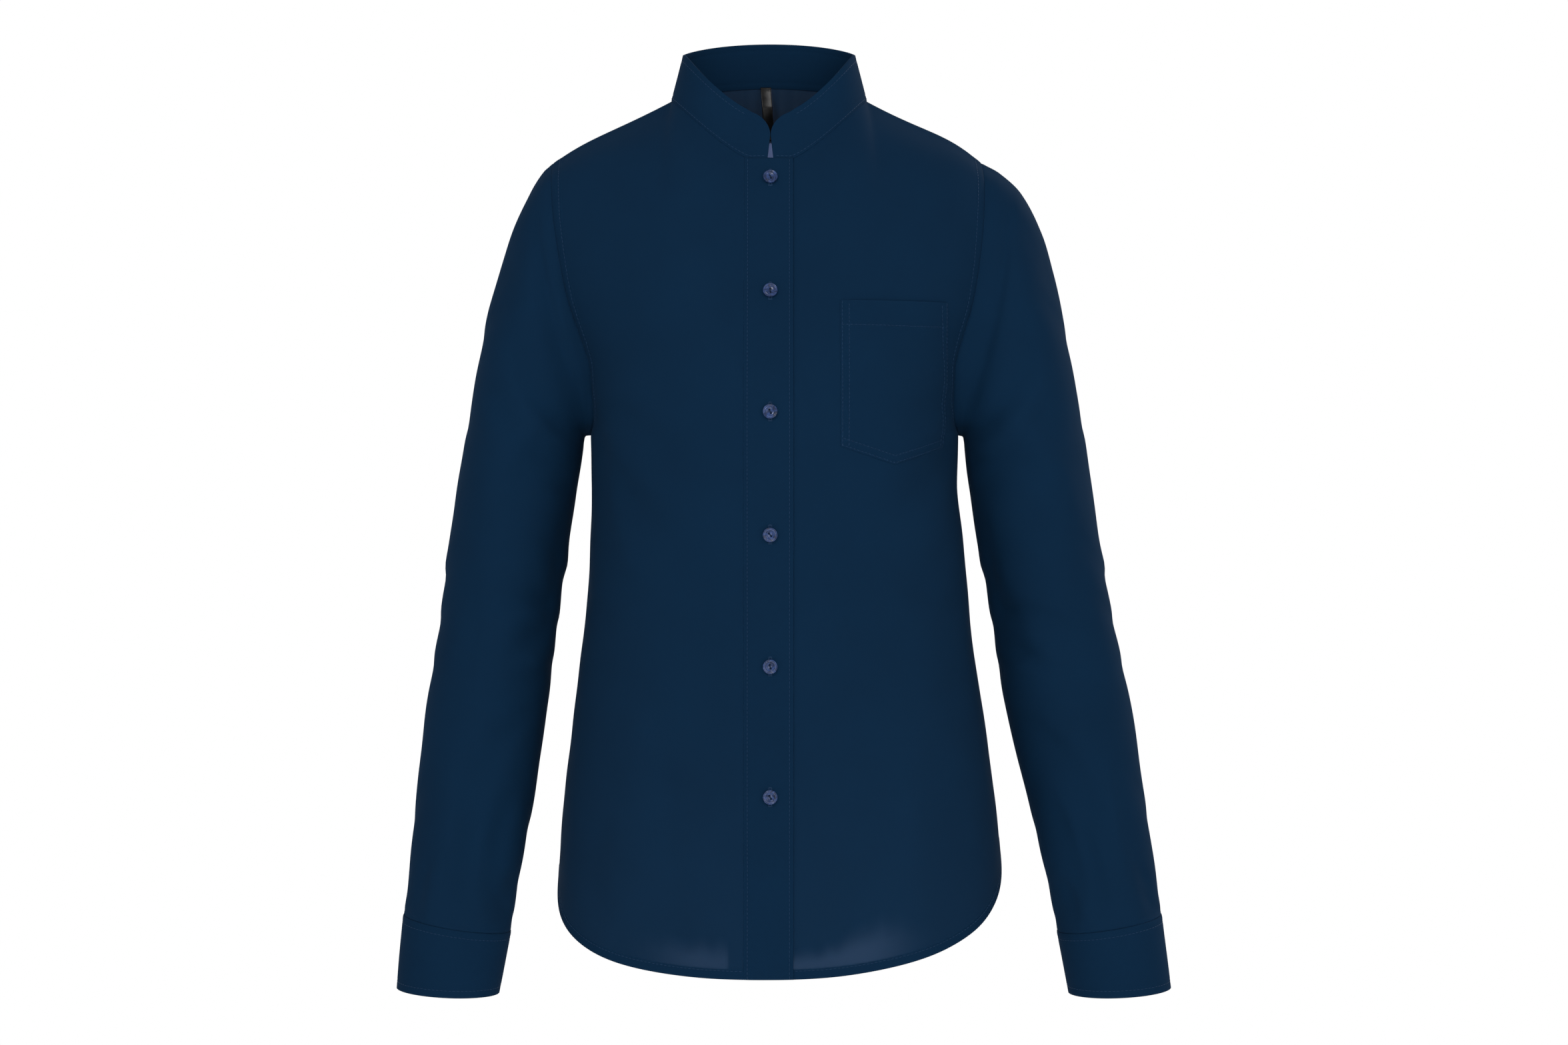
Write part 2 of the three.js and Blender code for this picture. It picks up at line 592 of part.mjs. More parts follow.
// Sleeve slit strip: it covers the slit above the cuff opening, with a pointed top.
function stripGrid(side) {
  const surface = (ring, sample) => sleevePoint(side, ring, sample);
  const rows = range(slitRings + 1).map((i) => seamRing - slitRings + i);
  const columns = range(cuffOverlap + 1).map((i) => cuffEdge(side) + side * i);
  const grid = liftedGrid(surface, rows, columns.sort((a, b) => a - b), onPanel(stripThick));
  const tip = grid[0][cuffOverlap / 2];
  tip.addScaledVector(tip.clone().sub(grid[1][cuffOverlap / 2]), stripPoint);
  return grid;
}

// Size label: a folded ribbon that hangs from the back neck seam, inside.
function labelGrid() {
  const topY = neckBack - collarThick / 2 - seamGap - labelThick / 2 - labelStandOff;
  return range(labelRows + 1).map((i) => {
    const down = i / labelRows;
    const y = topY - labelCurl * (Math.sin(Math.PI * down) + down);
    return [1, 0, -1].map((over) => new THREE.Vector3(
      labelTop.x + labelLean * down + (over * labelWidth) / 2,
      y,
      labelTop.z - labelLength * down,
    ));
  });
}

// Button: turned disc with a rounded rim, a shallow dish and two thread holes.
function buttonGeometry() {
  const profile = buttonProfile.map(({ r, up }) => new THREE.Vector2(r, up));
  const disc = new THREE.LatheGeometry(profile, buttonSides);
  const hole = new THREE.CylinderGeometry(threadHole, threadHole, 2 * buttonRim, threadHoleSides);
  let solid = toManifold(disc);
  for (const end of [1, -1]) {
    solid = solid.subtract(toManifold(hole.clone().translate(0, buttonRim / 2, end * threadHoleOut)));
  }
  return fromManifold(solid);
}

function toManifold(geometry) {
  const bare = geometry.clone();
  bare.deleteAttribute('normal');
  bare.deleteAttribute('uv');
  const source = bare.getAttribute('position');
  const index = bare.getIndex();
  const places = new Map();
  const vertices = [];
  const merged = range(source.count).map((i) => {
    const point = [source.getX(i), source.getY(i), source.getZ(i)].map((n) => Number(n.toFixed(5)) + 0);
    const key = point.join(',');
    if (!places.has(key)) {
      places.set(key, vertices.length / 3);
      vertices.push(...point);
    }
    return places.get(key);
  });
  const triangles = [];
  for (let i = 0; i < index.count; i += 3) {
    const [a, b, c] = [0, 1, 2].map((n) => merged[index.getX(i + n)]);
    if (a !== b && b !== c && c !== a) triangles.push(a, b, c);
  }
  return new wasm.Manifold(new wasm.Mesh({
    numProp: 3,
    vertProperties: new Float32Array(vertices),
    triVerts: new Uint32Array(triangles),
  }));
}

function fromManifold(solid) {
  const mesh = solid.getMesh();
  const geometry = new THREE.BufferGeometry();
  geometry.setAttribute('position', new THREE.BufferAttribute(new Float32Array(mesh.vertProperties), 3));
  geometry.setIndex(Array.from(mesh.triVerts));
  geometry.computeVertexNormals();
  return geometry;
}

const shirt = new THREE.Group();
shirt.name = 'mandarin_collar_shirt';

const poplin = { color: 0x10273e, roughness: 0.85, metalness: 0 };
const shell = { color: 0x4a5a7a, roughness: 0.35, metalness: 0 };
const ribbon = { color: 0x08080a, roughness: 0.4, metalness: 0 };

function addPiece(name, geometry, look) {
  const mesh = new THREE.Mesh(geometry, new THREE.MeshStandardMaterial(look));
  mesh.name = name;
  shirt.add(mesh);
  return mesh;
}

// Sewn pieces, which share their edges
const sewn = [
  { name: 'front_left', grid: leftFrontGrid(), thick: panelThick },
  { name: 'front_right', grid: rightFrontGrid(), thick: panelThick },
  { name: 'back', grid: backGrid(), thick: panelThick },
  { name: 'collar', grid: collarGrid(), thick: collarThick },
  { name: 'sleeve_left', grid: sleeveGrid(1), thick: panelThick, closed: true },
  { name: 'sleeve_right', grid: sleeveGrid(-1), thick: panelThick, closed: true },
  { name: 'cuff_left', grid: cuffGrid(1), thick: cuffThick },
  { name: 'cuff_right', grid: cuffGrid(-1), thick: cuffThick },
];
weldedNormals(sewn).forEach((normals, n) => {
  addPiece(sewn[n].name, clothGeometry(sewn[n], normals, sewn[n].thick), poplin);
});

// Pieces that lie on others, each with its own normals
const laid = [
  { name: 'front_band', grid: bandGrid(), thick: bandThick, look: poplin },
  { name: 'chest_pocket', grid: pocketGrid(), thick: pocketThick, look: poplin },
  { name: 'sleeve_placket_left', grid: stripGrid(1), thick: stripThick, look: poplin },
  { name: 'sleeve_placket_right', grid: stripGrid(-1), thick: stripThick, look: poplin },
  { name: 'neck_label', grid: labelGrid(), thick: labelThick, look: ribbon },
];
laid.forEach((piece) => {
  const [normals] = weldedNormals([piece]);
  addPiece(piece.name, clothGeometry(piece, normals, piece.thick), piece.look);
});

// Buttons, each seated on its cloth with its dish facing out
const button = buttonGeometry();

function seatButton(name, place, normal, turn) {
  const mesh = addPiece(name, button, shell);
  mesh.position.copy(place);
  mesh.quaternion.setFromUnitVectors(new THREE.Vector3(0, 1, 0), normal);
  mesh.rotateY(radians(turn));
}

buttonHeights.forEach((z, n) => {
  const row = solve((at) => frontPoint(0, at).z, z, -hemRows, armRows);
  const surface = (u, x) => frontPoint(x, -u);
  const normal = outward(surface, -row, 0, -armRows, hemRows);
  const lift = panelThick / 2 + seamGap + bandThick + seamGap;
  seatButton(`button_${n + 1}`, surface(-row, 0).addScaledVector(normal, lift), normal, buttonTurns[n]);
});

for (const [side, name] of [[1, 'left'], [-1, 'right']]) {
  const surface = (down, step) => cuffPoint(side, step, down, 0);
  const step = side > 0 ? samplesAround + cuffOverlap / 2 : -cuffOverlap / 2;
  const normal = outward(surface, 0.5, step, 0, 1);
  const lift = cuffLap + cuffThick / 2 + seamGap;
  seatButton(`cuff_button_${name}`, surface(0.5, step).addScaledVector(normal, lift), normal, 0);
}

export default shirt;
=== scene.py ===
import math

import bmesh
import bpy
import numpy as np
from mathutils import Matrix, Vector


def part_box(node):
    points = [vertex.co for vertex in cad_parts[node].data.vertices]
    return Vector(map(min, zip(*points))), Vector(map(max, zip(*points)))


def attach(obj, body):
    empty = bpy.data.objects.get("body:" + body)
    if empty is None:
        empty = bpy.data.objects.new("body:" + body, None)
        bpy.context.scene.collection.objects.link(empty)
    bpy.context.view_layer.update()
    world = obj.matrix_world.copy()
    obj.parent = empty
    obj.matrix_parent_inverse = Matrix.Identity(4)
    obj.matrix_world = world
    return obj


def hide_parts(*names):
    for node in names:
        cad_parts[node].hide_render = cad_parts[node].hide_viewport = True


# Looks of a long-sleeved shirt with a standing collar, filled out as worn.
# Sizes are in millimetres until a mesh is made. x runs to the wearer's left, y to the back, z up.
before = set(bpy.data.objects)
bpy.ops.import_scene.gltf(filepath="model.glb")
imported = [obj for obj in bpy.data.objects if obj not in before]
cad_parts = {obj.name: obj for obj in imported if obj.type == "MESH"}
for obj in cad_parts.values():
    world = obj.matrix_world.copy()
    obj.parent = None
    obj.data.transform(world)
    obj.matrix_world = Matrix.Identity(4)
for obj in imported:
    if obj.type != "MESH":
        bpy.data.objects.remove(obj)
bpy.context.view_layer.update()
print("frame loaded")

mm = 0.001

# Camera, level with the middle of the shirt

view = {
    "x": 10.4,
    "z": -328.6,
    "away": 3200,
    "frameWidth": 1223,  # what the frame spans across at the shoulders' depth
    "sensor": 36,
}
camera = bpy.data.objects.new("camera", bpy.data.cameras.new("camera"))
camera.data.sensor_width = view["sensor"]
camera.data.lens = view["sensor"] * view["away"] / view["frameWidth"]
camera.location = (view["x"] * mm, -view["away"] * mm, view["z"] * mm)
camera.rotation_euler = (math.pi / 2, 0, 0)
camera.data.clip_end = 100
bpy.context.scene.collection.objects.link(camera)
bpy.context.scene.camera = camera

# Small mathematics


def mix(a, b, share):
    return a + (b - a) * share


def ease(value, low=0.0, high=1.0):  # 0 below low, 1 above high, an S between
    t = np.clip((value - low) / (high - low), 0, 1)
    return t * t * (3 - 2 * t)


def point(x, y, z):
    return np.stack(np.broadcast_arrays(x, y, z), axis=-1).astype(float)


def unit(vectors):
    return vectors / np.maximum(np.linalg.norm(vectors, axis=-1, keepdims=True), 1e-12)


# A smooth curve through one column of a table: cubics whose slopes at the rows are limited, so that
# it never swings past a row.
def curveThrough(table, key, column):
    at, value = np.array(table[key], float), np.array(table[column], float)
    if at[0] > at[-1]:
        at, value = at[::-1], value[::-1]
    span, rise = np.diff(at), np.diff(value)
    low = np.maximum(np.arange(len(at)) - 1, 0)
    high = np.minimum(np.arange(len(at)) + 1, len(at) - 1)
    slope = (value[high] - value[low]) / (at[high] - at[low])
    way, limit = np.sign(rise), 3 * abs(rise) / span
    first = way * np.clip(slope[:-1] * way, 0, limit) * span
    last = way * np.clip(slope[1:] * way, 0, limit) * span

    def read(where):
        where = np.clip(where, at[0], at[-1])
        i = np.clip(np.searchsorted(at, where) - 1, 0, len(at) - 2)
        t = (where - at[i]) / span[i]
        ends = value[i] * (2 * t**3 - 3 * t**2 + 1) + value[i + 1] * (3 * t**2 - 2 * t**3)
        return ends + first[i] * (t**3 - 2 * t**2 + t) + last[i] * (t**3 - t**2)

    return read


def curvesThrough(table, key):
    return {column: curveThrough(table, key, column) for column in table if column != key}


# Cut of the body: sections below the underarm, then sections fanned round the armhole

neck = {
    "half": 75.5, "sway": -1.2, "front": 62, "back": 45, "drop": 50, "flat": 15,
    "power": 1.3, "backRise": 15, "backPower": 1.4,
}
shoulder = {"half": 167, "sway": -2.6, "z": -48.7, "arch": {-1: 2.6, 1: 4.4}, "archPower": 2.1}
body = {
    "underarmZ": -260.5, "underarmSway": 2.85, "hemFrontZ": -671.7, "hemBackZ": -677,
    "hemSideZ": {-1: -601, 1: -580}, "hemPower": {-1: 2.5, 1: 2.15},
    "hemRows": 16, "armRows": 12, "neckShare": 5 / 13, "squareness": 2.3,
}
lowerSections = {
    "z": [-260.5, -300, -340, -380, -430, -480, -530, -580, -630, -680],
    "half": [142.7, 141.8, 144.5, 147.3, 152.5, 159.3, 165.8, 170.8, 173.9, 175],
    "sway": [2.85, 3.1, 4.8, 5.5, 5.3, 6.4, 6.9, 7.4, 7.5, 7.5],
    "front": [130, 129, 126, 122, 119, 118, 119, 121, 123, 125],
    "back": [101, 95, 89, 86, 89, 96, 102, 107, 109, 110],
}
fan = [0, 30, 60, 90, 120, 150, 180]  # degrees, from the underarm to the top edge
sideTurn = [90, 80, 72, 66, 64, 64, 64]
upperSections = {
    "front": {
        "angle": fan,
        "midZ": [-260.5, -243, -208, -166, -124, -84, -50],
        "midY": [-130, -128, -122, -110, -94, -78, -62],
        "armX": [142.8, 139, 140, 156, 164.5, 167.5, 167],
        "armY": [0, -25, -42, -48, -42, -24, 0],
        "armZ": [-260.5, -247, -209, -156, -105, -66, -48.7],
        "arc": sideTurn,
    },
    "back": {
        "angle": fan,
        "midZ": [-260.5, -243, -206, -160, -108, -50, 15],
        "midY": [101, 103, 105, 102.5, 94, 74.5, 45],
        "armX": [142.8, 143, 147, 157, 163.5, 166.5, 167],
        "armY": [0, 27, 47, 53, 46, 26, 0],
        "armZ": [-260.5, -246, -208, -156, -104, -65, -48.7],
        "arc": sideTurn,
    },
}
topShare = {
    "angle": fan,
    "height": [0, 0.12, 0.28, 0.46, 0.62, 0.84, 1],
    "plan": [0, 0, 0, 0.05, 0.22, 0.55, 1],
}
lowerCurves = curvesThrough(lowerSections, "z")
upperCurves = {face: curvesThrough(rows, "angle") for face, rows in upperSections.items()}
shareCurves = curvesThrough(topShare, "angle")


# The rounded section: sine and cosine of a direction, both scaled so that the powers add up to 1.
def reach(angle):
    n = body["squareness"]
    return (abs(np.sin(angle)) ** n + abs(np.cos(angle)) ** n) ** (-1 / n)


def across(angle):
    return np.sin(angle) * reach(angle)


def forward(angle):
    return np.cos(angle) * reach(angle)


def angleAcross(q):
    n = body["squareness"]
    return np.arctan2(q, (1 - abs(q) ** n) ** (1 / n))


def neckWidth(side):
    return neck["half"] + side * neck["sway"]


# The neckline, an oval seen from above that rises to the sides and again to the back.
def neckPoint(side, turn):
    x, ahead = neckWidth(side) * np.sin(np.radians(turn)), np.cos(np.radians(turn))
    fromFlat = np.maximum(0, x - neck["flat"]) / (neckWidth(side) - neck["flat"])
    front = -neck["drop"] * (1 - fromFlat ** neck["power"])
    back = neck["backRise"] * abs(ahead) ** neck["backPower"]
    y = -ahead * np.where(turn > 90, neck["back"], neck["front"])
    return point(side * x, y, np.where(turn > 90, back, front))


def neckTurn(side, x):
    return np.degrees(np.arcsin(x / neckWidth(side)))


# Top edge of a half panel: the neckline, then the shoulder seam, a line with a small arch.
def topEdge(face, side, x, column):
    turn = mix(neckTurn(side, x), 90, np.minimum(column / body["neckShare"], 1))
    line = neckPoint(side, turn if face == "front" else 180 - turn)
    along = np.clip((column - body["neckShare"]) / (1 - body["neckShare"]), 0, 1)
    arch = shoulder["arch"][side] * np.sin(np.pi * along ** shoulder["archPower"])
    end = shoulder["half"] + side * shoulder["sway"]
    seam = point(side * mix(neckWidth(side), end, along), 0, shoulder["z"] * along + arch)
    return np.where((column <= body["neckShare"])[..., None], line, seam)


# A section above the underarm: part of a rounded quarter, scaled to reach the armhole.
def plainUpper(face, side, x, angle, column):
    part = upperCurves[face]
    up = ease(angle, 0, 180)
    half = part["armX"](angle) + side * mix(body["underarmSway"], shoulder["sway"], up)
    end = np.radians(part["arc"](angle))
    turn = mix(angleAcross(x * across(end) / half), end, column)
    back = (1 - forward(turn)) / (1 - forward(end))
    return point(
        side * half * across(turn) / across(end),
        mix(part["midY"](angle), part["armY"](angle), back),
        mix(part["midZ"](angle), part["armZ"](angle), column),
    )


# A point of the body. row is 0 at the underarm, 12 at the top edge and -16 at the hem. column is 0 at
# the panel's inner edge, x from the middle, and 1 at side seam and armhole.
def bodyPoint(face, side, x, row, column):
    x, row, column = np.broadcast_arrays(np.asarray(x, float), row, column)
    angle = 180 * np.maximum(row, 0) / body["armRows"]
    top = topEdge(face, side, x, column) - plainUpper(face, side, x, np.full_like(angle, 180), column)
    plan, height = shareCurves["plan"](angle), shareCurves["height"](angle)
    upper = plainUpper(face, side, x, angle, column) + top * point(plan, plan, height)

    fall = np.maximum(-row, 0) / body["hemRows"]
    midHem = body["hemFrontZ"] if face == "front" else body["hemBackZ"]
    midZ = mix(body["underarmZ"], midHem, fall)
    start = angleAcross(x / (lowerCurves["half"](midZ) + side * lowerCurves["sway"](midZ)))
    turn = mix(start, np.pi / 2, column)
    hem = mix(midHem, body["hemSideZ"][side], (turn / (np.pi / 2)) ** body["hemPower"][side])
    z = mix(body["underarmZ"], hem, fall)
    half = lowerCurves["half"](z) + side * lowerCurves["sway"](z)
    y = -lowerCurves["front"](z) if face == "front" else lowerCurves["back"](z)
    lower = point(side * half * across(turn), y * forward(turn), z)
    return np.where((row > 0)[..., None], upper, lower)


# The front near its middle: the half panel on the side that x lies on.
def frontPoint(x, row):
    x, row = np.broadcast_arrays(np.asarray(x, float), row)
    left = bodyPoint("front", 1, np.maximum(x, 0), row, np.zeros_like(x))
    right = bodyPoint("front", -1, np.maximum(-x, 0), row, np.zeros_like(x))
    return np.where((x >= 0)[..., None], left, right)


# Cut of the sleeves: outlines seen from the front, and sections from armhole to cuff edge

innerZ = [-260.5, -261.2, -265, -272, -290, -306, -337, -368, -415, -462, -509, -555, -602, -649, -692]
sleeveOutline = {
    (-1, "outer"): {
        "z": [-48.7, -55, -72, -103, -134, -165, -228, -290,
              -353, -415, -477, -540, -602, -649, -688],
        "x": [169.6, 176.8, 187.7, 201.8, 211.6, 221, 232.4, 243.4,
              252.7, 260.5, 269.4, 275.6, 281.8, 286, 289],
    },
    (-1, "inner"): {
        "z": innerZ,
        "x": [139.95, 143.1, 144.9, 145.9, 148.7, 151.3, 156, 160.2,
              166.4, 172.6, 179, 185.6, 194, 201.8, 210],
    },
    (1, "outer"): {
        "z": [-48.7, -56, -72, -103, -134, -165, -228, -290,
              -353, -415, -477, -540, -602, -649, -688],
        "x": [164.4, 177.8, 195, 211.6, 220.5, 227.8, 239.2, 249.6,
              259, 270.4, 282.4, 291.2, 299.5, 305, 309.5],
    },
    (1, "inner"): {
        "z": innerZ,
        "x": [145.65, 148.8, 150.4, 151.2, 152.9, 155, 159.6, 165.4,
              173.2, 181, 191.3, 202.3, 213.2, 222.6, 230.5],
    },
}
sleeveSections = {
    "ring": [0, 2, 4, 6, 8, 10, 12, 14, 16, 18, 20, 22, 23, 24, 26],
    "outZ": [-48.7, -72, -110, -156, -207, -262, -321, -383, -445, -507, -565, -612, -632, -651.5, -688],
    "inZ": [-260.5, -261.2, -265, -275, -296, -329, -374, -421, -470, -523.5, -579, -626, -645, -662, -692],
    "midY": [0, 0, 0, 1, 2, 4, 6, 7, 4, -3, -11, -18, -20.5, -22.5, -26],
    "depth": [48, 50, 52, 54, 55, 55, 53.5, 51.5, 48.5, 45, 41, 37.5, 36, 35.2, 34],
    "drop": [0, 0, 0, 0, 0, 0, 0, 0, 0.01, 0.02, 0.04, 0.06, 0.07, 0.07, 0.08],
}
sleeve = {"wall": 1.4, "samples": 24, "seamRing": 23, "endRing": 26, "fadeRings": 7}
outlineCurves = {key: curveThrough(rows, "z", "x") for key, rows in sleeveOutline.items()}
sleeveCurves = curvesThrough(sleeveSections, "ring")


# An oval slanting section of a sleeve, its samples counted from the inner edge.
def sleeveOval(side, ring, sample):
    turn = 2 * np.pi * sample / sleeve["samples"]
    outZ, inZ = sleeveCurves["outZ"](ring), sleeveCurves["inZ"](ring)
    outX = outlineCurves[side, "outer"](outZ) - sleeve["wall"] / 2
    inX = outlineCurves[side, "inner"](inZ) + sleeve["wall"] / 2
    out = (1 - np.cos(turn)) / 2
    y = -side * sleeveCurves["depth"](ring) * np.sin(turn)
    z = mix(inZ, outZ, out) + sleeveCurves["drop"](ring) * y
    return point(side * mix(inX, outX, out), sleeveCurves["midY"](ring) + y, z)


def armhole(side, sample):
    firstHalf = sample <= body["armRows"]
    row = np.where(firstHalf, sample, sleeve["samples"] - sample)
    front = bodyPoint("front", side, 0, row, 1.0)
    back = bodyPoint("back", side, 0, row, 1.0)
    return np.where((firstHalf == (side > 0))[..., None], front, back)


# A point of a sleeve: the oval, bent to the armhole over the first rings.
def sleevePoint(side, ring, sample):
    ring, sample = np.broadcast_arrays(np.asarray(ring, float), np.mod(sample, sleeve["samples"]))
    bend = np.maximum(1 - ring / sleeve["fadeRings"], 0) ** 2
    change = armhole(side, sample) - sleeveOval(side, np.zeros_like(ring), sample)
    return sleeveOval(side, ring, sample) + bend[..., None] * change


# Folds: soft uneven troughs and ridges, seen from the front and from behind. Each line runs from
# one end to the other with a bow, and its hollow is bell-shaped across and fades at both ends.

frontFolds = [
    # x and z of both ends, bow, half width, how far out (minus is a trough)
    (-140, -250, -92, -330, 6, 13, -3.4),
    (-136, -262, -104, -392, 9, 12, -2.9),
    (-138, -238, -76, -276, -5, 12, -2.2),
    (-124, -290, -88, -430, 8, 16, 2.1),
    (-140, -400, -96, -372, 6, 14, -2.3),
    (-138, -440, -100, -470, -5, 18, -2.0),
    (-112, -450, -98, -640, -9, 20, 2.3),
    (-78, -500, -70, -665, 7, 18, -2.2),
    (-40, -540, -44, -668, -5, 16, 1.6),
    (-128, -560, -132, -630, 4, 14, -2.1),
    (-120, -120, -70, -232, 12, 17, -1.3),
    (-60, -120, -30, -210, 8, 20, 1.2),
    (-100, -72, -40, -98, 6, 14, -1.2),
    (148, -246, 100, -322, -6, 13, -3.4),
    (145, -262, 112, -400, -8, 12, -2.7),
    (146, -236, 92, -262, 5, 12, -2.0),
    (134, -292, 100, -440, -8, 16, 2.1),
    (150, -394, 104, -366, -6, 14, -2.3),
    (152, -446, 108, -474, 5, 18, -2.0),
    (122, -450, 110, -640, 9, 20, 2.3),
    (84, -505, 78, -662, -7, 18, -2.3),
    (48, -545, 52, -668, 5, 15, 1.7),
    (140, -545, 146, -620, -4, 14, -2.1),
    (40, -330, 66, -480, 9, 22, 1.4),
    (-36, -320, -58, -470, -9, 22, 1.3),
    (110, -76, 52, -102, -6, 14, -1.2),
]
backFolds = [
    (-140, -250, -80, -300, 8, 11, -6.9),
    (-138, -268, -96, -392, 10, 10, -5.9),
    (-138, -236, -60, -250, -7, 10, -4.7),
    (-96, -130, -128, -240, -10, 13, -3.6),
    (-70, -96, -20, -120, 6, 12, -3.2),
    (-132, -392, -40, -404, 9, 12, -5.1),
    (-120, -424, -30, -440, -8, 12, 4.0),
    (-70, -350, -18, -366, 6, 9, -3.2),
    (-104, -470, -92, -640, -9, 16, 5.2),
    (-60, -500, -52, -670, 8, 14, -5.1),
    (-18, -470, -12, -672, -6, 13, 4.0),
    (-134, -560, -138, -630, 4, 10, -4.0),
    (148, -250, 86, -304, -8, 11, -6.9),
    (146, -266, 104, -398, -10, 10, -5.5),
    (146, -234, 70, -252, 7, 10, -4.4),
    (104, -128, 136, -236, 10, 13, -3.6),
    (76, -92, 24, -118, -6, 12, -2.9),
    (140, -386, 36, -398, -9, 12, -5.1),
    (128, -420, 40, -436, 8, 12, 3.6),
    (112, -470, 102, -636, 9, 16, 5.2),
    (68, -505, 60, -668, -8, 14, -5.1),
    (24, -480, 28, -672, 6, 12, 3.4),
    (144, -545, 150, -620, -4, 10, -4.0),
]
sleeveFolds = [
    (-148, -262, -196, -196, -8, 12, -4.2),
    (-150, -284, -214, -230, -10, 13, -3.8),
    (-152, -306, -206, -292, 8, 12, -2.8),
    (-158, -330, -188, -430, -8, 13, -3.2),
    (-178, -250, -222, -330, 9, 16, 2.6),
    (-166, -392, -226, -404, 6, 10, -3.1),
    (-170, -412, -236, -438, -6, 10, -2.6),
    (-176, -440, -214, -430, 5, 9, 2.2),
    (-232, -360, -250, -470, -7, 15, -2.2),
    (-190, -478, -236, -560, 8, 13, -2.6),
    (-200, -540, -214, -628, 5, 10, -2.5),
    (-246, -520, -262, -625, -5, 11, 2.2),
    (-226, -560, -236, -640, 4, 9, -2.1),
    (-196, -600, -206, -640, 3, 7, -2.0),
    (-262, -590, -272, -640, 3, 7, -2.0),
    (-181, -102, -147, -236, 4, 7, -2.8),
    (-182, -96, -208, -160, 6, 14, -2.0),
    (152, -262, 202, -192, 8, 12, -4.2),
    (154, -286, 222, -226, 10, 13, -3.8),
    (156, -306, 212, -288, -8, 12, -2.8),
    (162, -330, 194, -432, 8, 13, -3.2),
    (184, -248, 230, -332, -9, 16, 2.6),
    (174, -398, 234, -414, -6, 10, -3.1),
    (180, -420, 246, -446, 6, 10, -2.6),
    (184, -446, 224, -436, -5, 9, 2.2),
    (238, -360, 262, -476, 7, 15, -2.2),
    (200, -484, 252, -566, -8, 13, -2.6),
    (216, -545, 232, -628, -5, 10, -2.5),
    (258, -524, 282, -625, 5, 11, 2.2),
    (240, -566, 252, -640, -4, 9, -2.1),
    (222, -604, 232, -640, -3, 7, -2.0),
    (284, -594, 294, -640, -3, 7, -2.0),
    (185, -94, 151, -240, -4, 7, -2.8),
    (190, -96, 216, -160, -6, 14, -2.0),
]
# Seen from the side, so x is the depth here, and shallower, because they lie on the outline
sleeveSideFolds = [
    (-44, -150, 30, -206, 6, 10, -0.9),
    (40, -232, -36, -262, -5, 9, -0.8),
    (-50, -330, 44, -392, 7, 9, -1.1),
    (-46, -372, 40, -422, 6, 8, -1.0),
    (44, -346, -20, -364, -4, 8, 0.8),
    (-48, -456, 38, -440, -5, 9, -0.9),
    (-34, -520, 20, -600, 5, 9, -0.8),
    (22, -560, -40, -632, -4, 8, -0.8),
    (-56, -606, -10, -640, 3, 6, -0.7),
]
# The sleeves' folds again on their back, narrower and deeper
sleeveBackFolds = [fold[:5] + (fold[5] * 0.75, fold[6] * 1.5) for fold in sleeveFolds]
bodyFolds = (frontFolds, backFolds, [])
armFolds = (sleeveFolds, sleeveBackFolds, sleeveSideFolds)
facing = {"front": (0.05, 0.45), "side": (0.3, 0.85)}  # parts of a normal where folds set in and are full


# The sum of the folds' hollows: a bell across each line, wider towards its second end, with one flank
# steeper than the other, that eases off past both ends.
def foldHeight(folds, x, z):
    height = np.zeros(np.shape(x))
    for x0, z0, x1, z1, bow, width, out in folds:
        long = math.hypot(x1 - x0, z1 - z0)
        t = ((x - x0) * (x1 - x0) + (z - z0) * (z1 - z0)) / long**2
        off = ((x - x0) * (z1 - z0) - (z - z0) * (x1 - x0)) / long - 4 * bow * t * (1 - t)
        wide = width * (0.75 + 0.5 * t) * (1 + 0.3 * np.tanh(off / width))
        height += out * np.exp(-((off / wide) ** 2)) * ease(t, -0.2, 0.25) * ease(1 - t, -0.25, 0.3)
    return height


# Slight unevenness of cloth that was sewn by hand: a sum of crossed sine waves, 60 to 140 mm long.
def unevenness(points):
    x, y, z = points[..., 0], points[..., 1], points[..., 2]
    waves = np.sin(x / 17 + 1.3 * np.sin(z / 41)) * np.sin(z / 23 + y / 31)
    return 0.28 * waves + 0.22 * np.sin(x / 9.5 + z / 13 + 1.7) * np.sin(y / 12 - z / 19)


def normalsOf(points, closed=False):
    if closed:
        points = np.concatenate([points[:, -1:], points, points[:, :1]], axis=1)
    down, right = np.gradient(points, axis=0), np.gradient(points, axis=1)
    normals = unit(np.cross(down, right))
    return normals[:, 1:-1] if closed else normals


# Cloth as worn: each point is moved along the normal by the folds of the side that it faces, as far as
# it is free to, from 0 on a seam to 1.
def dressed(points, folds, closed=False, free=1.0):
    normals = normalsOf(points, closed)
    x, y, z = points[..., 0], points[..., 1], points[..., 2]
    height = ease(-normals[..., 1], *facing["front"]) * foldHeight(folds[0], x, z)
    height = height + ease(normals[..., 1], *facing["front"]) * foldHeight(folds[1], x, z)
    height = height + ease(abs(normals[..., 0]), *facing["side"]) * foldHeight(folds[2], y, z)
    return points + (free * (height + unevenness(points)))[..., None] * normals


# Free inside these edges, and held over a few millimetres beside them.
def freeOf(points, **edges):
    free = np.ones(points.shape[:2])
    for edge, wide in edges.items():
        free = free * ease(fromEdge(points, edge), 0, wide)
    return free


# Meshes

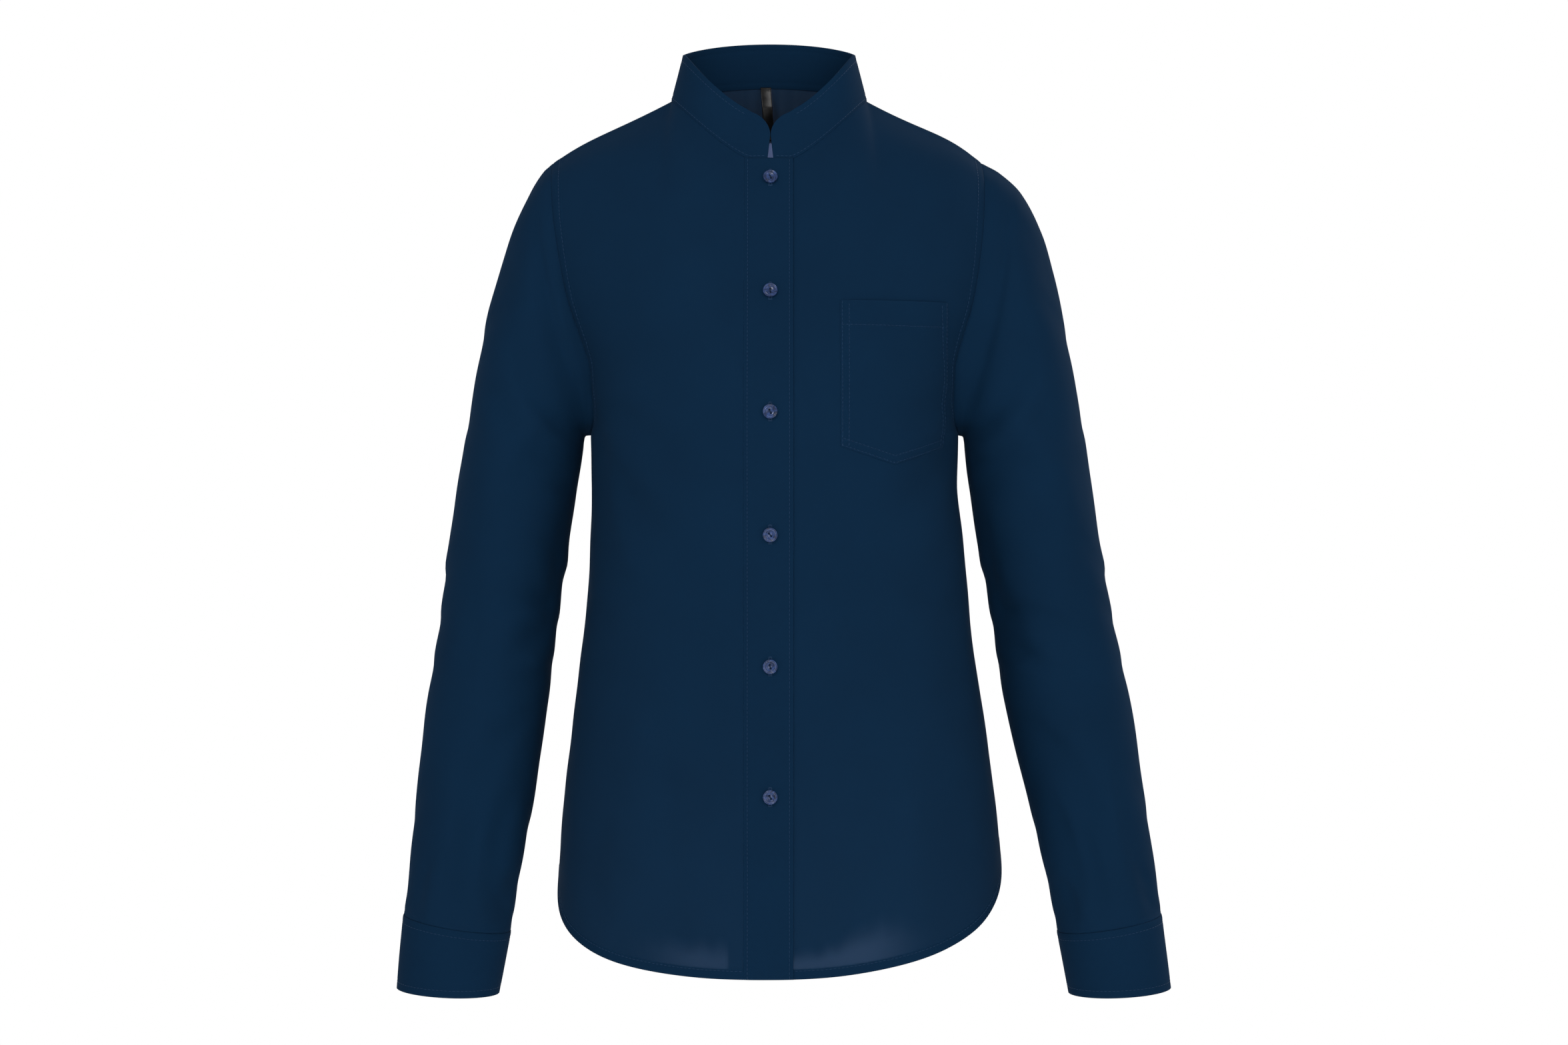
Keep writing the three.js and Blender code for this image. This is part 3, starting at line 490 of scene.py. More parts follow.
# A mesh from points in millimetres. Each face corner may take its UV from a list of its own, and each
# point how much light comes through the cloth there, from 0 to 1.
def meshFrom(name, points, faces, uv=None, uvFaces=None, through=None, smoothFaces=True):
    mesh = bpy.data.meshes.new(name)
    mesh.from_pydata(np.asarray(points, float) * mm, [], np.asarray(faces).tolist())
    if uv is not None:
        layer = mesh.uv_layers.new(name="clothUV")
        layer.data.foreach_set("uv", (uv.reshape(-1, 2)[np.ravel(uvFaces)] * mm).ravel())
    if through is not None:
        mesh.attributes.new("through", "FLOAT", "POINT").data.foreach_set("value", through.ravel())
    mesh.polygons.foreach_set("use_smooth", np.full(len(mesh.polygons), smoothFaces))
    mesh.update()
    piece = bpy.data.objects.new(name, mesh)
    bpy.context.scene.collection.objects.link(piece)
    return piece


# How far each point of a grid is down and across it along the cloth, in millimetres.
def clothUv(points):
    down = np.linalg.norm(np.diff(points, axis=0), axis=-1)
    right = np.linalg.norm(np.diff(points, axis=1), axis=-1)
    v = np.concatenate([np.zeros((1, points.shape[1])), np.cumsum(down, axis=0)])
    u = np.concatenate([np.zeros((points.shape[0], 1)), np.cumsum(right, axis=1)], axis=1)
    return np.stack([u - u[:, u.shape[1] // 2][:, None], -v], axis=-1)


# Quads of a closed wall whose outer face has rows x columns points, and its inner face as many after
# them: both faces, then the rims. wide is the points in a row, which a tube's last column wraps to.
def wallFaces(rows, columns, wide, closed):
    def at(layer, i, j):
        return layer * rows * wide + i * wide + j % wide

    def quads(corners):
        return np.stack(np.broadcast_arrays(*corners), axis=-1).reshape(-1, 4)

    i, j = np.arange(rows - 1)[:, None], np.arange(columns - 1)[None, :]
    k, end, foot = j + 1, columns - 1, rows - 1
    parts = [
        quads([at(0, i, j), at(0, i + 1, j), at(0, i + 1, k), at(0, i, k)]),
        quads([at(1, i, j), at(1, i, k), at(1, i + 1, k), at(1, i + 1, j)]),
        quads([at(0, 0, j), at(0, 0, k), at(1, 0, k), at(1, 0, j)]),
        quads([at(0, foot, j), at(1, foot, j), at(1, foot, k), at(0, foot, k)]),
    ]
    if not closed:
        parts.append(quads([at(0, i, 0), at(1, i, 0), at(1, i + 1, 0), at(0, i + 1, 0)]))
        parts.append(quads([at(0, i, end), at(0, i + 1, end), at(1, i + 1, end), at(1, i, end)]))
    return np.concatenate(parts)


singleLayer = 0.3  # light through one layer with the dark inside behind it; doubled cloth lets none by
thinnest = 0.12  # mm from the middle of the cloth to its face, at the bottom of a seam


# A wall of cloth from a grid of its middle points, rows down and columns to the right: both faces
# stand half the thickness and the ridge away from the middle. Gives the piece and its outer points.
def clothPiece(name, middle, thick, material, ridge=0.0, closed=False, through=singleLayer):
    rows, columns = middle.shape[:2]
    normals = normalsOf(middle, closed)
    half = np.maximum(thick / 2 + np.asarray(ridge, float), thinnest)
    half = np.broadcast_to(half, (rows, columns))[..., None]
    outer, inner = middle + normals * half, middle - normals * half
    spans = columns + 1 if closed else columns
    wrapped = np.concatenate([middle, middle[:, :1]], axis=1) if closed else middle
    uv = clothUv(wrapped)
    points = np.concatenate([outer.reshape(-1, 3), inner.reshape(-1, 3)])
    faces = wallFaces(rows, spans, columns, closed)
    uvFaces = wallFaces(rows, spans, spans, closed)
    passing = np.tile(np.broadcast_to(np.asarray(through, float), (rows, columns)).ravel(), 2)
    piece = meshFrom(name, points, faces, np.concatenate([uv, uv]), uvFaces, passing)
    piece.data.materials.append(material)
    return piece, outer


# Shares of a length that lie closer together near both its ends, where the seams and hems are.
def crowded(count, ends=0.72):
    t = np.linspace(0, 1, count + 1)
    return t - ends * np.sin(2 * np.pi * t) / (2 * np.pi)


# How far each point of a grid is from one of its edges, along the cloth.
def fromEdge(points, edge):
    uv = clothUv(points)
    down, right = -uv[..., 1], uv[..., 0] - uv[:, :1, 0]
    return {"top": down, "hem": down[-1:] - down, "left": right, "right": right[:, -1:] - right}[edge]


def groove(distance, at, wide):  # 1 at a distance from the edge, 0 beside it
    return np.exp(-(((distance - at) / wide) ** 2))


def flap(distance, wide):  # 1 on the doubled cloth beside an edge, 0 past it
    return 1 - ease(distance, wide - 0.6, wide + 0.6)


# Stitches

stitch = {"long": 2.5, "pitch": 3.2, "wide": 0.5, "high": 0.3}
stitchLines = []  # every line of stitching, as points and normals


# A point and its normal between the points of a grid, at fractions of its rows and columns.
def betweenPoints(grid, row, column):
    i = np.clip(np.floor(row).astype(int), 0, grid.shape[0] - 2)
    j = np.clip(np.floor(column).astype(int), 0, grid.shape[1] - 2)
    a, b = (row - i)[..., None], (column - j)[..., None]
    top = mix(grid[i, j], grid[i, j + 1], b)
    return mix(top, mix(grid[i + 1, j], grid[i + 1, j + 1], b), a)


# A line of stitches on a grid at one distance from an edge, from one share of the line to another.
def stitchAlong(grid, edge, distance, start=0.0, stop=1.0):
    away = fromEdge(grid, edge)
    if edge in ("left", "right"):
        away = away.T
    if edge in ("hem", "right"):
        away = away[::-1]
    after = np.clip((away < distance).sum(axis=0), 1, away.shape[0] - 1)
    line = np.arange(away.shape[1])
    low, high = away[after - 1, line], away[after, line]
    index = after - 1 + (distance - low) / np.maximum(high - low, 1e-9)
    if edge in ("hem", "right"):
        index = away.shape[0] - 1 - index
    keep = slice(round(start * (len(line) - 1)), round(stop * (len(line) - 1)) + 1)
    row, column = (index, line) if edge in ("top", "hem") else (line, index)
    normals = normalsOf(grid)
    row, column = row[keep].astype(float), column[keep].astype(float)
    stitchLines.append((betweenPoints(grid, row, column), unit(betweenPoints(normals, row, column))))


# Spindles of three rings of four points: places, and the directions along and up from each.
def spindles(place, along, up, long, wide, high):
    aside = unit(np.cross(along, up))
    ring = np.radians([45, 135, 225, 315])
    offset = np.array([
        (x * long / 2, r * math.cos(a) * wide / 2, r * math.sin(a) * high)
        for x, r in ((-1, 0.45), (0, 1), (1, 0.45)) for a in ring
    ])
    points = (place[:, None] + along[:, None] * offset[:, :1]
              + aside[:, None] * offset[:, 1:2] + up[:, None] * offset[:, 2:])
    sides = [(r * 4 + k, r * 4 + (k + 1) % 4, (r + 1) * 4 + (k + 1) % 4, (r + 1) * 4 + k)
             for r in (0, 1) for k in range(4)]
    faces = np.array(sides + [(3, 2, 1, 0), (8, 9, 10, 11)])
    starts = np.arange(len(points))[:, None, None] * len(offset)
    return points.reshape(-1, 3), (faces[None] + starts).reshape(-1, 4)


# Stitches at an even pitch along each line.
def stitchMesh(lines):
    places, alongs, ups = [], [], []
    for points, normals in lines:
        length = np.concatenate([[0], np.cumsum(np.linalg.norm(np.diff(points, axis=0), axis=1))])
        count = max(2, int(length[-1] / stitch["pitch"]))
        middle = (np.arange(count) + 0.5) * length[-1] / count

        def read(at, values):
            return np.stack([np.interp(at, length, values[:, k]) for k in range(3)], axis=1)

        places.append(read(middle, points))
        alongs.append(unit(read(middle + 0.4, points) - read(middle - 0.4, points)))
        ups.append(unit(read(middle, normals)))
    place, along, up = (np.concatenate(part) for part in (places, alongs, ups))
    return spindles(place, along, up, stitch["long"], stitch["wide"], stitch["high"])


# Materials

def linear(hexColour):
    value = [int(hexColour[i : i + 2], 16) / 255 for i in (1, 3, 5)]
    return [v / 12.92 if v <= 0.04045 else ((v + 0.055) / 1.055) ** 2.4 for v in value] + [1]


def addNode(tree, kind, settings=None, links=None):
    node = tree.nodes.new(kind)
    for name, value in (settings or {}).items():
        if isinstance(name, str) and hasattr(node, name):
            setattr(node, name, value)
        else:
            node.inputs[name].default_value = value
    for socket, source in (links or {}).items():
        tree.links.new(source, node.inputs[socket])
    return node


# A new material, its nodes, and its Principled shader with some of its sockets set.
def newMaterial(name, sockets=None):
    material = bpy.data.materials.new(name)
    material.use_nodes = True
    shader = material.node_tree.nodes["Principled BSDF"]
    for socket, value in (sockets or {}).items():
        shader.inputs[socket].default_value = value
    return material, material.node_tree, shader


poplin = {
    "colour": "#092137",
    "darker": "#081D31",
    "lit": "#C2D2EA",  # light that comes through between the threads
    "thread": 1.1,  # mm between threads; the real 0.25 mm is too fine to show, so it is drawn coarser
    "weave": 0.05,
    "roughness": 0.85,
    "translucent": 0.3,
}


# Cotton blend poplin, plain woven and dyed: a matt surface with a fine crossed grain, a soft sheen of
# loose fibres at grazing angles, and a little light through a single layer.
def wovenPoplin(name, settings):
    material, tree, _ = newMaterial(name)
    tree.nodes.clear()
    place = addNode(tree, "ShaderNodeTexCoord")
    parts = addNode(tree, "ShaderNodeSeparateXYZ", links={0: place.outputs["UV"]})
    turns = 1 / (settings["thread"] * mm)
    waves = []
    for axis in ("X", "Y"):
        scaled = addNode(tree, "ShaderNodeMath", {"operation": "MULTIPLY", 1: math.pi * turns},
                         {0: parts.outputs[axis]})
        waves.append(addNode(tree, "ShaderNodeMath", {"operation": "SINE"}, {0: scaled.outputs[0]}))
    crossed = addNode(tree, "ShaderNodeMath", {"operation": "MULTIPLY"},
                      {0: waves[0].outputs[0], 1: waves[1].outputs[0]})
    slub = addNode(tree, "ShaderNodeTexNoise", {"Scale": 260.0, "Detail": 3.0, "Roughness": 0.55},
                   {"Vector": place.outputs["UV"]})
    cloud = addNode(tree, "ShaderNodeTexNoise", {"Scale": 14.0, "Detail": 4.0, "Roughness": 0.6},
                    {"Vector": place.outputs["Object"]})
    grain = addNode(tree, "ShaderNodeMath", {"operation": "MULTIPLY_ADD", 1: 0.5},
                    {0: crossed.outputs[0], 2: slub.outputs["Fac"]})
    tone = addNode(tree, "ShaderNodeMath", {"operation": "MULTIPLY_ADD", 1: 0.35},
                   {0: grain.outputs[0], 2: cloud.outputs["Fac"]})
    ramp = addNode(tree, "ShaderNodeMapRange", {"From Min": 0.2, "From Max": 1.1},
                   {"Value": tone.outputs[0]})
    ends = {"data_type": "RGBA", 6: linear(settings["darker"]), 7: linear(settings["colour"])}
    colour = addNode(tree, "ShaderNodeMix", ends, {0: ramp.outputs["Result"]})  # 6 and 7 are its colours
    raised = addNode(tree, "ShaderNodeBump", {"Strength": settings["weave"], "Distance": 0.0004},
                     {"Height": grain.outputs[0]})
    cloth = addNode(tree, "ShaderNodeBsdfPrincipled",
                    {"Roughness": settings["roughness"], "Sheen Weight": 0.05, "Sheen Roughness": 0.45,
                     "Sheen Tint": linear("#5A7FA8"), "Specular IOR Level": 0.02},
                    {"Base Color": colour.outputs[2], "Normal": raised.outputs[0]})
    passed = addNode(tree, "ShaderNodeAttribute", {"attribute_name": "through"})
    ends = {"data_type": "RGBA", 6: linear("#000000"), 7: linear(settings["lit"])}
    passing = addNode(tree, "ShaderNodeMix", ends, {0: passed.outputs["Fac"]})
    through = addNode(tree, "ShaderNodeBsdfTranslucent", links={"Color": passing.outputs[2]})
    both = addNode(tree, "ShaderNodeMixShader", {0: settings["translucent"]},
                   {1: cloth.outputs[0], 2: through.outputs[0]})
    addNode(tree, "ShaderNodeOutputMaterial", links={"Surface": both.outputs[0]})
    return material


poplinCloth = wovenPoplin("navyPoplin", poplin)
print("poplin ready")

# Panels

panel = {
    "thick": 0.8, "bandHalf": 17.5, "rows": 236, "columns": 78, "hem": 7.5, "felled": 8,
    "heldTop": 10, "heldSide": 5,  # how far the seams hold the folds flat
    "inset": 1.2,  # stitches from the edge of the doubled cloth
    "armholeShare": (0.02, 0.435), "neckStitch": 2.5, "shoulderShares": ((0.01, 0.3), (0.7, 0.99)),
}
seam = {"deep": 0.28, "wide": 1.1, "flap": 0.22, "thread": 0.22, "threadWide": 0.8}

# Rows from top edge to hem
rows = mix(body["armRows"], -body["hemRows"], crowded(panel["rows"], 0.8))[:, None]
half = crowded(panel["columns"])[None, :]


# Height of seams and hems on a panel: a dip at each seam, the doubled cloth of the hem and of the
# felled seams, and a small groove under each line of stitches.
def panelSeams(points, felled, sides):
    doubled = flap(fromEdge(points, "hem"), panel["hem"])
    height = -seam["deep"] * groove(fromEdge(points, "top"), 0, seam["wide"])
    hem = fromEdge(points, "hem")
    height = height + seam["flap"] * flap(hem, panel["hem"])
    height = height - seam["thread"] * groove(hem, panel["hem"] - panel["inset"], seam["threadWide"])
    upper = ease(rows, 0, 0.6)
    for side in sides:
        away = fromEdge(points, side)
        height = height - seam["deep"] * groove(away, 0, seam["wide"])
        height = height + upper * seam["flap"] * flap(away, felled)
        height = height - upper * seam["thread"] * groove(away, felled - panel["inset"], seam["threadWide"])
        doubled = np.maximum(doubled, flap(away, felled))
    return height, doubled


hemGlow = {
    "left": {"high": 15, "peak": 14, "peakX": 84, "peakWide": 34, "fadeX": (70, 130)},
    "right": {"high": 21, "share": 0.85, "startX": (-114, -48), "endX": (-33, -30)},
    "wavy": 0.8, "full": 0.6, "gone": 1.55,  # the last two are shares of its height
}
neckGlow = {"share": 0.1, "fadeX": (34, 66), "fadeDown": (16, 46), "streak": 0.35, "streakWide": 22}


# Above the front hem the back ends higher, so the light behind comes straight through: a strip on either
# side of the front band, slightly wavy, the left one with a bell on top, that fades up and outwards.
def hemLight(points):
    left, right = hemGlow["left"], hemGlow["right"]
    x, away = points[..., 0], fromEdge(points, "hem")
    peak = left["peak"] * np.exp(-(((x - left["peakX"]) / left["peakWide"]) ** 2))
    high = np.where(x > 0, left["high"] + peak, right["high"])
    high = high + hemGlow["wavy"] * np.sin(x / 3.1 + np.sin(x / 7))
    rightSide = right["share"] * ease(x, *right["startX"]) * (1 - ease(x, *right["endX"]))
    side = np.where(x > 0, 1 - ease(x, *left["fadeX"]), rightSide)
    return (1 - singleLayer) * side * (1 - ease(away, hemGlow["full"] * high, hemGlow["gone"] * high))


# A little of the same at the back of the neck, where the front is open: it fades sideways and down, with
# fine upright streaks near the middle, as waves under a bell.
def neckLight(points):
    x, away = points[..., 0], fromEdge(points, "top")
    bell = np.exp(-((x / neckGlow["streakWide"]) ** 2))
    streaks = 1 + neckGlow["streak"] * np.sin(x / 1.3 + 1.5 * np.sin(x / 4.1)) * bell
    patch = (1 - ease(abs(x), *neckGlow["fadeX"])) * (1 - ease(away, *neckGlow["fadeDown"]))
    return neckGlow["share"] * patch * streaks


underX = np.linspace(-panel["bandHalf"], panel["bandHalf"], 15)[None, :-1]  # under the front band
leftPlain = np.concatenate([
    frontPoint(underX, rows),
    bodyPoint("front", 1, panel["bandHalf"], rows, half),
], axis=1)
rightPlain = bodyPoint("front", -1, panel["bandHalf"], rows, half)[:, ::-1]
backPlain = np.concatenate([
    bodyPoint("back", 1, 0, rows, half)[:, ::-1],
    bodyPoint("back", -1, 0, rows, half)[:, 1:],
], axis=1)

panels = {}
for name, plain, sides in (
    ("frontLeftPanel", leftPlain, ["right"]),
    ("frontRightPanel", rightPlain, ["left"]),
    ("backPanel", backPlain, ["left", "right"]),
):
    held = dict.fromkeys(sides, panel["heldSide"])
    grid = dressed(plain, bodyFolds, free=freeOf(plain, top=panel["heldTop"], **held))
    raised, doubled = panelSeams(grid, panel["felled"], sides)
    opening = neckLight(grid) if name == "backPanel" else hemLight(grid)
    through = (singleLayer + opening) * (1 - doubled)
    if name == "frontLeftPanel":
        through[:, : underX.size] = 0  # folded double under the front band
    panels[name], outer = clothPiece(name, grid, panel["thick"], poplinCloth, raised, through=through)
    stitchAlong(outer, "hem", panel["hem"] - panel["inset"])
    for side in sides:
        stitchAlong(outer, side, panel["felled"] - panel["inset"], *panel["armholeShare"])
    if name == "backPanel":
        for shares in panel["shoulderShares"]:
            stitchAlong(outer, "top", panel["neckStitch"], *shares)
print("panels made")

# Sleeves

rings = mix(0, sleeve["seamRing"], crowded(230, 0.6))[:, None]
samples = np.linspace(0, sleeve["samples"], 145)[None, :-1]
sleeves, seamAway = {}, np.minimum(samples, sleeve["samples"] - samples)
for side, name in ((1, "sleeveLeft"), (-1, "sleeveRight")):
    plain = sleevePoint(side, rings, samples)
    grid = dressed(plain, armFolds, closed=True, free=freeOf(plain, top=5, hem=4))
    ends = groove(fromEdge(grid, "top"), 0, seam["wide"]) + groove(fromEdge(grid, "hem"), 0, seam["wide"])
    raised = -seam["deep"] * (ends + groove(seamAway, 0, 0.12))
    sleeves[side], _ = clothPiece(name, grid, panel["thick"], poplinCloth, raised, closed=True)
print("sleeves made")

# Cuffs

cuff = {"thick": 1.7, "overlap": 2, "start": 16, "lap": 2.1, "stitch": 5.5}
cuffs, cuffOuter = {}, {}


# The cuff's middle surface: the sleeve's oval carried on, lifted where it laps over its own start.
def cuffPoint(side, down, step):
    start = cuff["start"] if side > 0 else sleeve["samples"] - cuff["start"]
    ring = mix(sleeve["seamRing"], sleeve["endRing"], down)
    lift = cuff["lap"] * ease(step, sleeve["samples"] - 2, sleeve["samples"])
    return sleeveOval(side, ring, start + side * step), lift


for side, name in ((1, "cuffLeft"), (-1, "cuffRight")):
    steps = (sleeve["samples"] + cuff["overlap"]) * crowded(170, 0.5)[None, :]
    base, lift = cuffPoint(side, crowded(34, 0.6)[:, None], steps)
    if side < 0:
        base, lift = base[:, ::-1], lift[:, ::-1]
    grid = base + lift[..., None] * normalsOf(base)
    grid = grid + 0.5 * unevenness(grid)[..., None] * normalsOf(grid)
    edges = ("top", "hem", "left", "right")
    raised = -seam["thread"] * sum(groove(fromEdge(grid, edge), cuff["stitch"], 0.9) for edge in edges)
    raised = raised - seam["deep"] * groove(fromEdge(grid, "top"), 0, seam["wide"])
    cuffs[side], outer = clothPiece(name, grid, cuff["thick"], poplinCloth, raised, through=0)
    cuffOuter[side] = outer
    for edge in edges:
        stitchAlong(outer, edge, cuff["stitch"], 0.06, 0.94)
print("cuffs made")

# Collar

collar = {
    "thick": 1.8, "stitch": 5, "frontHeight": 40.5, "sideHeight": 37, "backHeight": 34.4, "corner": 21,
    "endHalf": 2.2, "endDraw": 2.0, "neckStitch": 2.5,
    "frontLean": (0, 0.35, 0.937), "backLean": (0, -0.145, 0.989), "sideLean": (-0.25, -0.03, 0.96),
}


# Where the cloth ends above a point of the neck seam: between the front's, the side's and the back's
# direction and height, cut lower by a quarter circle at the front corner, with the ends drawn together.
def collarRise(side, foot, turn):
    ahead = abs(np.cos(np.radians(turn))) ** np.where(turn < 90, 2, neck["backPower"])
    front = np.array(collar["frontLean"]) * collar["frontHeight"]
    back = np.array(collar["backLean"]) * collar["backHeight"]
    flank = np.array(collar["sideLean"]) * [side, 1, 1] * collar["sideHeight"]
    end = np.where((turn < 90)[..., None], front, back)
    up = end * ahead[..., None] + flank * (1 - ahead[..., None])
    corner = collar["corner"]
    inward = np.where(turn < 90, np.clip(abs(foot[..., 0]) - collar["endHalf"], 0, corner), corner)
    cut = corner - np.sqrt(np.maximum(corner**2 - (corner - inward) ** 2, 0))
    draw = point(-side * collar["endDraw"] * (1 - inward / corner), 0, 0)
    return up * (1 - cut / collar["frontHeight"])[..., None] + draw


def collarHalf(side):
    sweep = np.radians(np.linspace(0, 90, 26)[:-1])
    cornerX = collar["endHalf"] + collar["corner"] * (1 - np.cos(sweep))
    start = neckTurn(side, collar["endHalf"] + collar["corner"])
    turn = np.concatenate([neckTurn(side, cornerX), np.linspace(start, 180, 90)])
    foot = neckPoint(side, turn)
    return foot, collarRise(side, foot, turn)


footLeft, riseLeft = collarHalf(1)
footRight, riseRight = collarHalf(-1)
foot = np.concatenate([footLeft, footRight[-2::-1]])
rise = np.concatenate([riseLeft, riseRight[-2::-1]])
up = 1 - crowded(30, 0.6)[:, None, None]
collarGrid = foot[None] + rise[None] * (up * 1.02 - 0.02)
settled = 0.4 * unevenness(collarGrid) * ease(up[..., 0], 0, 0.25)
collarGrid = collarGrid + settled[..., None] * normalsOf(collarGrid)
raised = -seam["thread"] * sum(
    groove(fromEdge(collarGrid, edge), collar["stitch"], 0.9) for edge in ("top", "hem"))
raised = raised - seam["deep"] * groove(fromEdge(collarGrid, "hem"), 0, 1.4)
collarPiece, outer = clothPiece("collarBand", collarGrid, collar["thick"], poplinCloth, raised, through=0)
stitchAlong(outer, "top", collar["stitch"], 0.1, 0.9)
stitchAlong(outer, "hem", collar["neckStitch"], 0.03, 0.97)
print("collar made")


# What lies on a panel: a grid worked out from the panel's own surface, moved out.
def laidOn(points, out):
    return points + np.asarray(out)[..., None] * normalsOf(points)


# Front band

band = {"thick": 1.0, "left": -20, "right": 17.5, "out": 1.1, "sewnOut": 0.5, "topGap": 0.03, "stitch": 3}
bandX = mix(band["left"], band["right"], crowded(40, 0.6))[None, :]
bandRows = rows.copy()
bandRows[0] -= band["topGap"]
# The sewn edge lies flat on the panel, and the free edge stands its full thickness above it.
fullBand = ease(bandX, band["left"], band["left"] + 4)
bandPlain = frontPoint(bandX, bandRows)
bandGrid = dressed(bandPlain, bodyFolds, free=freeOf(bandPlain, top=10))
bandGrid = laidOn(bandGrid, mix(band["sewnOut"], band["out"], fullBand))
raised = -(band["thick"] / 2 - 0.08) * (1 - fullBand) - seam["thread"] * sum(
    groove(fromEdge(bandGrid, edge), band["stitch"], 0.8) for edge in ("left", "right"))
bandPiece, bandOuter = clothPiece("frontBand", bandGrid, band["thick"], poplinCloth, raised, through=0)
for edge in ("left", "right"):
    stitchAlong(bandOuter, edge, band["stitch"])
print("band made")

# Chest pocket

pocket = {
    "thick": 0.8, "out": 0.9, "inner": 52.6, "outer": 135, "topZ": -161, "cornerZ": -271.6,
    "tipZ": -285, "hem": 19, "edge": 1.6, "edgeAgain": 7, "gape": 0.7, "pressed": 0.3, "thinner": 0.28,
}


# Panel rows and columns whose points lie at wanted x and z: each in turn is found by halving the
# interval that holds it, with the other kept.
def panelPlaces(x, z):
    row, column = np.zeros(x.shape), np.full(x.shape, 0.5)
    for _ in range(4):
        for axis, wanted in ((2, z), (0, x)):
            low = np.full(x.shape, -16.0 if axis == 2 else 0.0)
            high = np.full(x.shape, 12.0 if axis == 2 else 1.0)
            for _ in range(24):
                middle = (low + high) / 2
                at = (middle, column) if axis == 2 else (row, middle)
                over = bodyPoint("front", 1, panel["bandHalf"], *at)[..., axis] > wanted
                high, low = np.where(over, middle, high), np.where(over, low, middle)
            row, column = (middle, column) if axis == 2 else (row, middle)
    return row, column


def pocketSurface(over, down):
    x = mix(pocket["inner"], pocket["outer"], over)
    foot = mix(pocket["tipZ"], pocket["cornerZ"], abs(2 * over - 1))
    row, column = panelPlaces(x, mix(pocket["topZ"], foot, down))
    return bodyPoint("front", 1, panel["bandHalf"], row, column)


over, down = np.meshgrid(crowded(60, 0.8), crowded(76, 0.8))
gape = pocket["gape"] * np.exp(-down / 0.06) * np.sin(np.pi * over)
pocketBase = dressed(pocketSurface(over, down), bodyFolds)
sewn = 1 - ease(np.minimum(fromEdge(pocketBase, "hem"), np.minimum(
    fromEdge(pocketBase, "left"), fromEdge(pocketBase, "right"))), 0, 1.6)
pocketGrid = laidOn(pocketBase, pocket["out"] + gape - pocket["pressed"] * sewn)
edges = ("left", "right", "hem")
rowsOfStitches = [(edge, pocket[line]) for edge in edges for line in ("edge", "edgeAgain")]
raised = -pocket["thinner"] * sewn - seam["thread"] * sum(
    groove(fromEdge(pocketGrid, edge), at, 0.8) for edge, at in rowsOfStitches)
raised = raised - seam["thread"] * groove(fromEdge(pocketGrid, "top"), pocket["hem"], 0.8)
pocketPiece, outer = clothPiece("chestPocket", pocketGrid, pocket["thick"], poplinCloth, raised)
for edge in edges:
    stitchAlong(outer, edge, pocket["edge"], 0.01, 0.99)
    stitchAlong(outer, edge, pocket["edgeAgain"], 0.08, 0.92)
stitchAlong(outer, "top", pocket["hem"], 0.03, 0.97)
print("pocket made")

# Sleeve slit strips

# A strip's length is in rings of the sleeve, its width in samples
strip = {"thick": 0.8, "out": 0.9, "rings": 4, "width": 2, "point": 0.35, "stitch": 2}
strips = {}
for side, name in ((1, "sleeveStripLeft"), (-1, "sleeveStripRight")):
    start = cuff["start"] if side > 0 else sleeve["samples"] - cuff["start"] - strip["width"]
    over = np.linspace(0, 1, 15)[None, :]
    down = np.linspace(0, 1, 50)[:, None]
    tip = strip["point"] * (1 - abs(2 * over - 1)) * (1 - down) ** 4
    ring = sleeve["seamRing"] - 0.02 - strip["rings"] * (1 - down) - tip
    grid = laidOn(dressed(sleevePoint(side, ring, start + strip["width"] * over), armFolds), strip["out"])
    strips[side], outer = clothPiece(name, grid, strip["thick"], poplinCloth, through=0)
    for edge in ("left", "right"):
        stitchAlong(outer, edge, strip["stitch"], 0.03, 0.99)
print("strips made")

# Buttons

button = {
    "count": 6, "lift": 0.5,  # under side above the cloth
    "turns": [20, 5, 25, 40, 15, 30],  # degrees from holes that stand one above the other
    "holeAway": 1.35, "holeRadius": 0.65, "dish": 3.0, "dished": 0.3,
    "dark": "#081329", "pale": "#20335A", "roughness": 0.16, "worn": 0.3,
}
buttonRim = {  # outline from the dished top over two raised rings and round to the under side
    "radius": [3.0, 3.3, 3.6, 3.9, 4.25, 4.65, 5.0, 5.3, 5.52, 5.6, 5.5, 5.15, 4.7],
    "up": [1.5, 1.66, 2.02, 2.06, 1.84, 2.06, 2.3, 2.22, 1.8, 1.2, 0.6, 0.18, 0],
}
holeRings = {  # from the dish's edge on the under side to the hole, up its wall and out again
    "share": [1, 0.5, 0, 0, 0, 0, 0, 0.35, 1],
    "wider": [0, 0.05, 0.1, 0, 0, 0.05, 0.16, 0.16, 0],
    "up": [0, 0, 0, 0.12, 1.3, 1.44, 1.5, 1.5, 1.5],
}


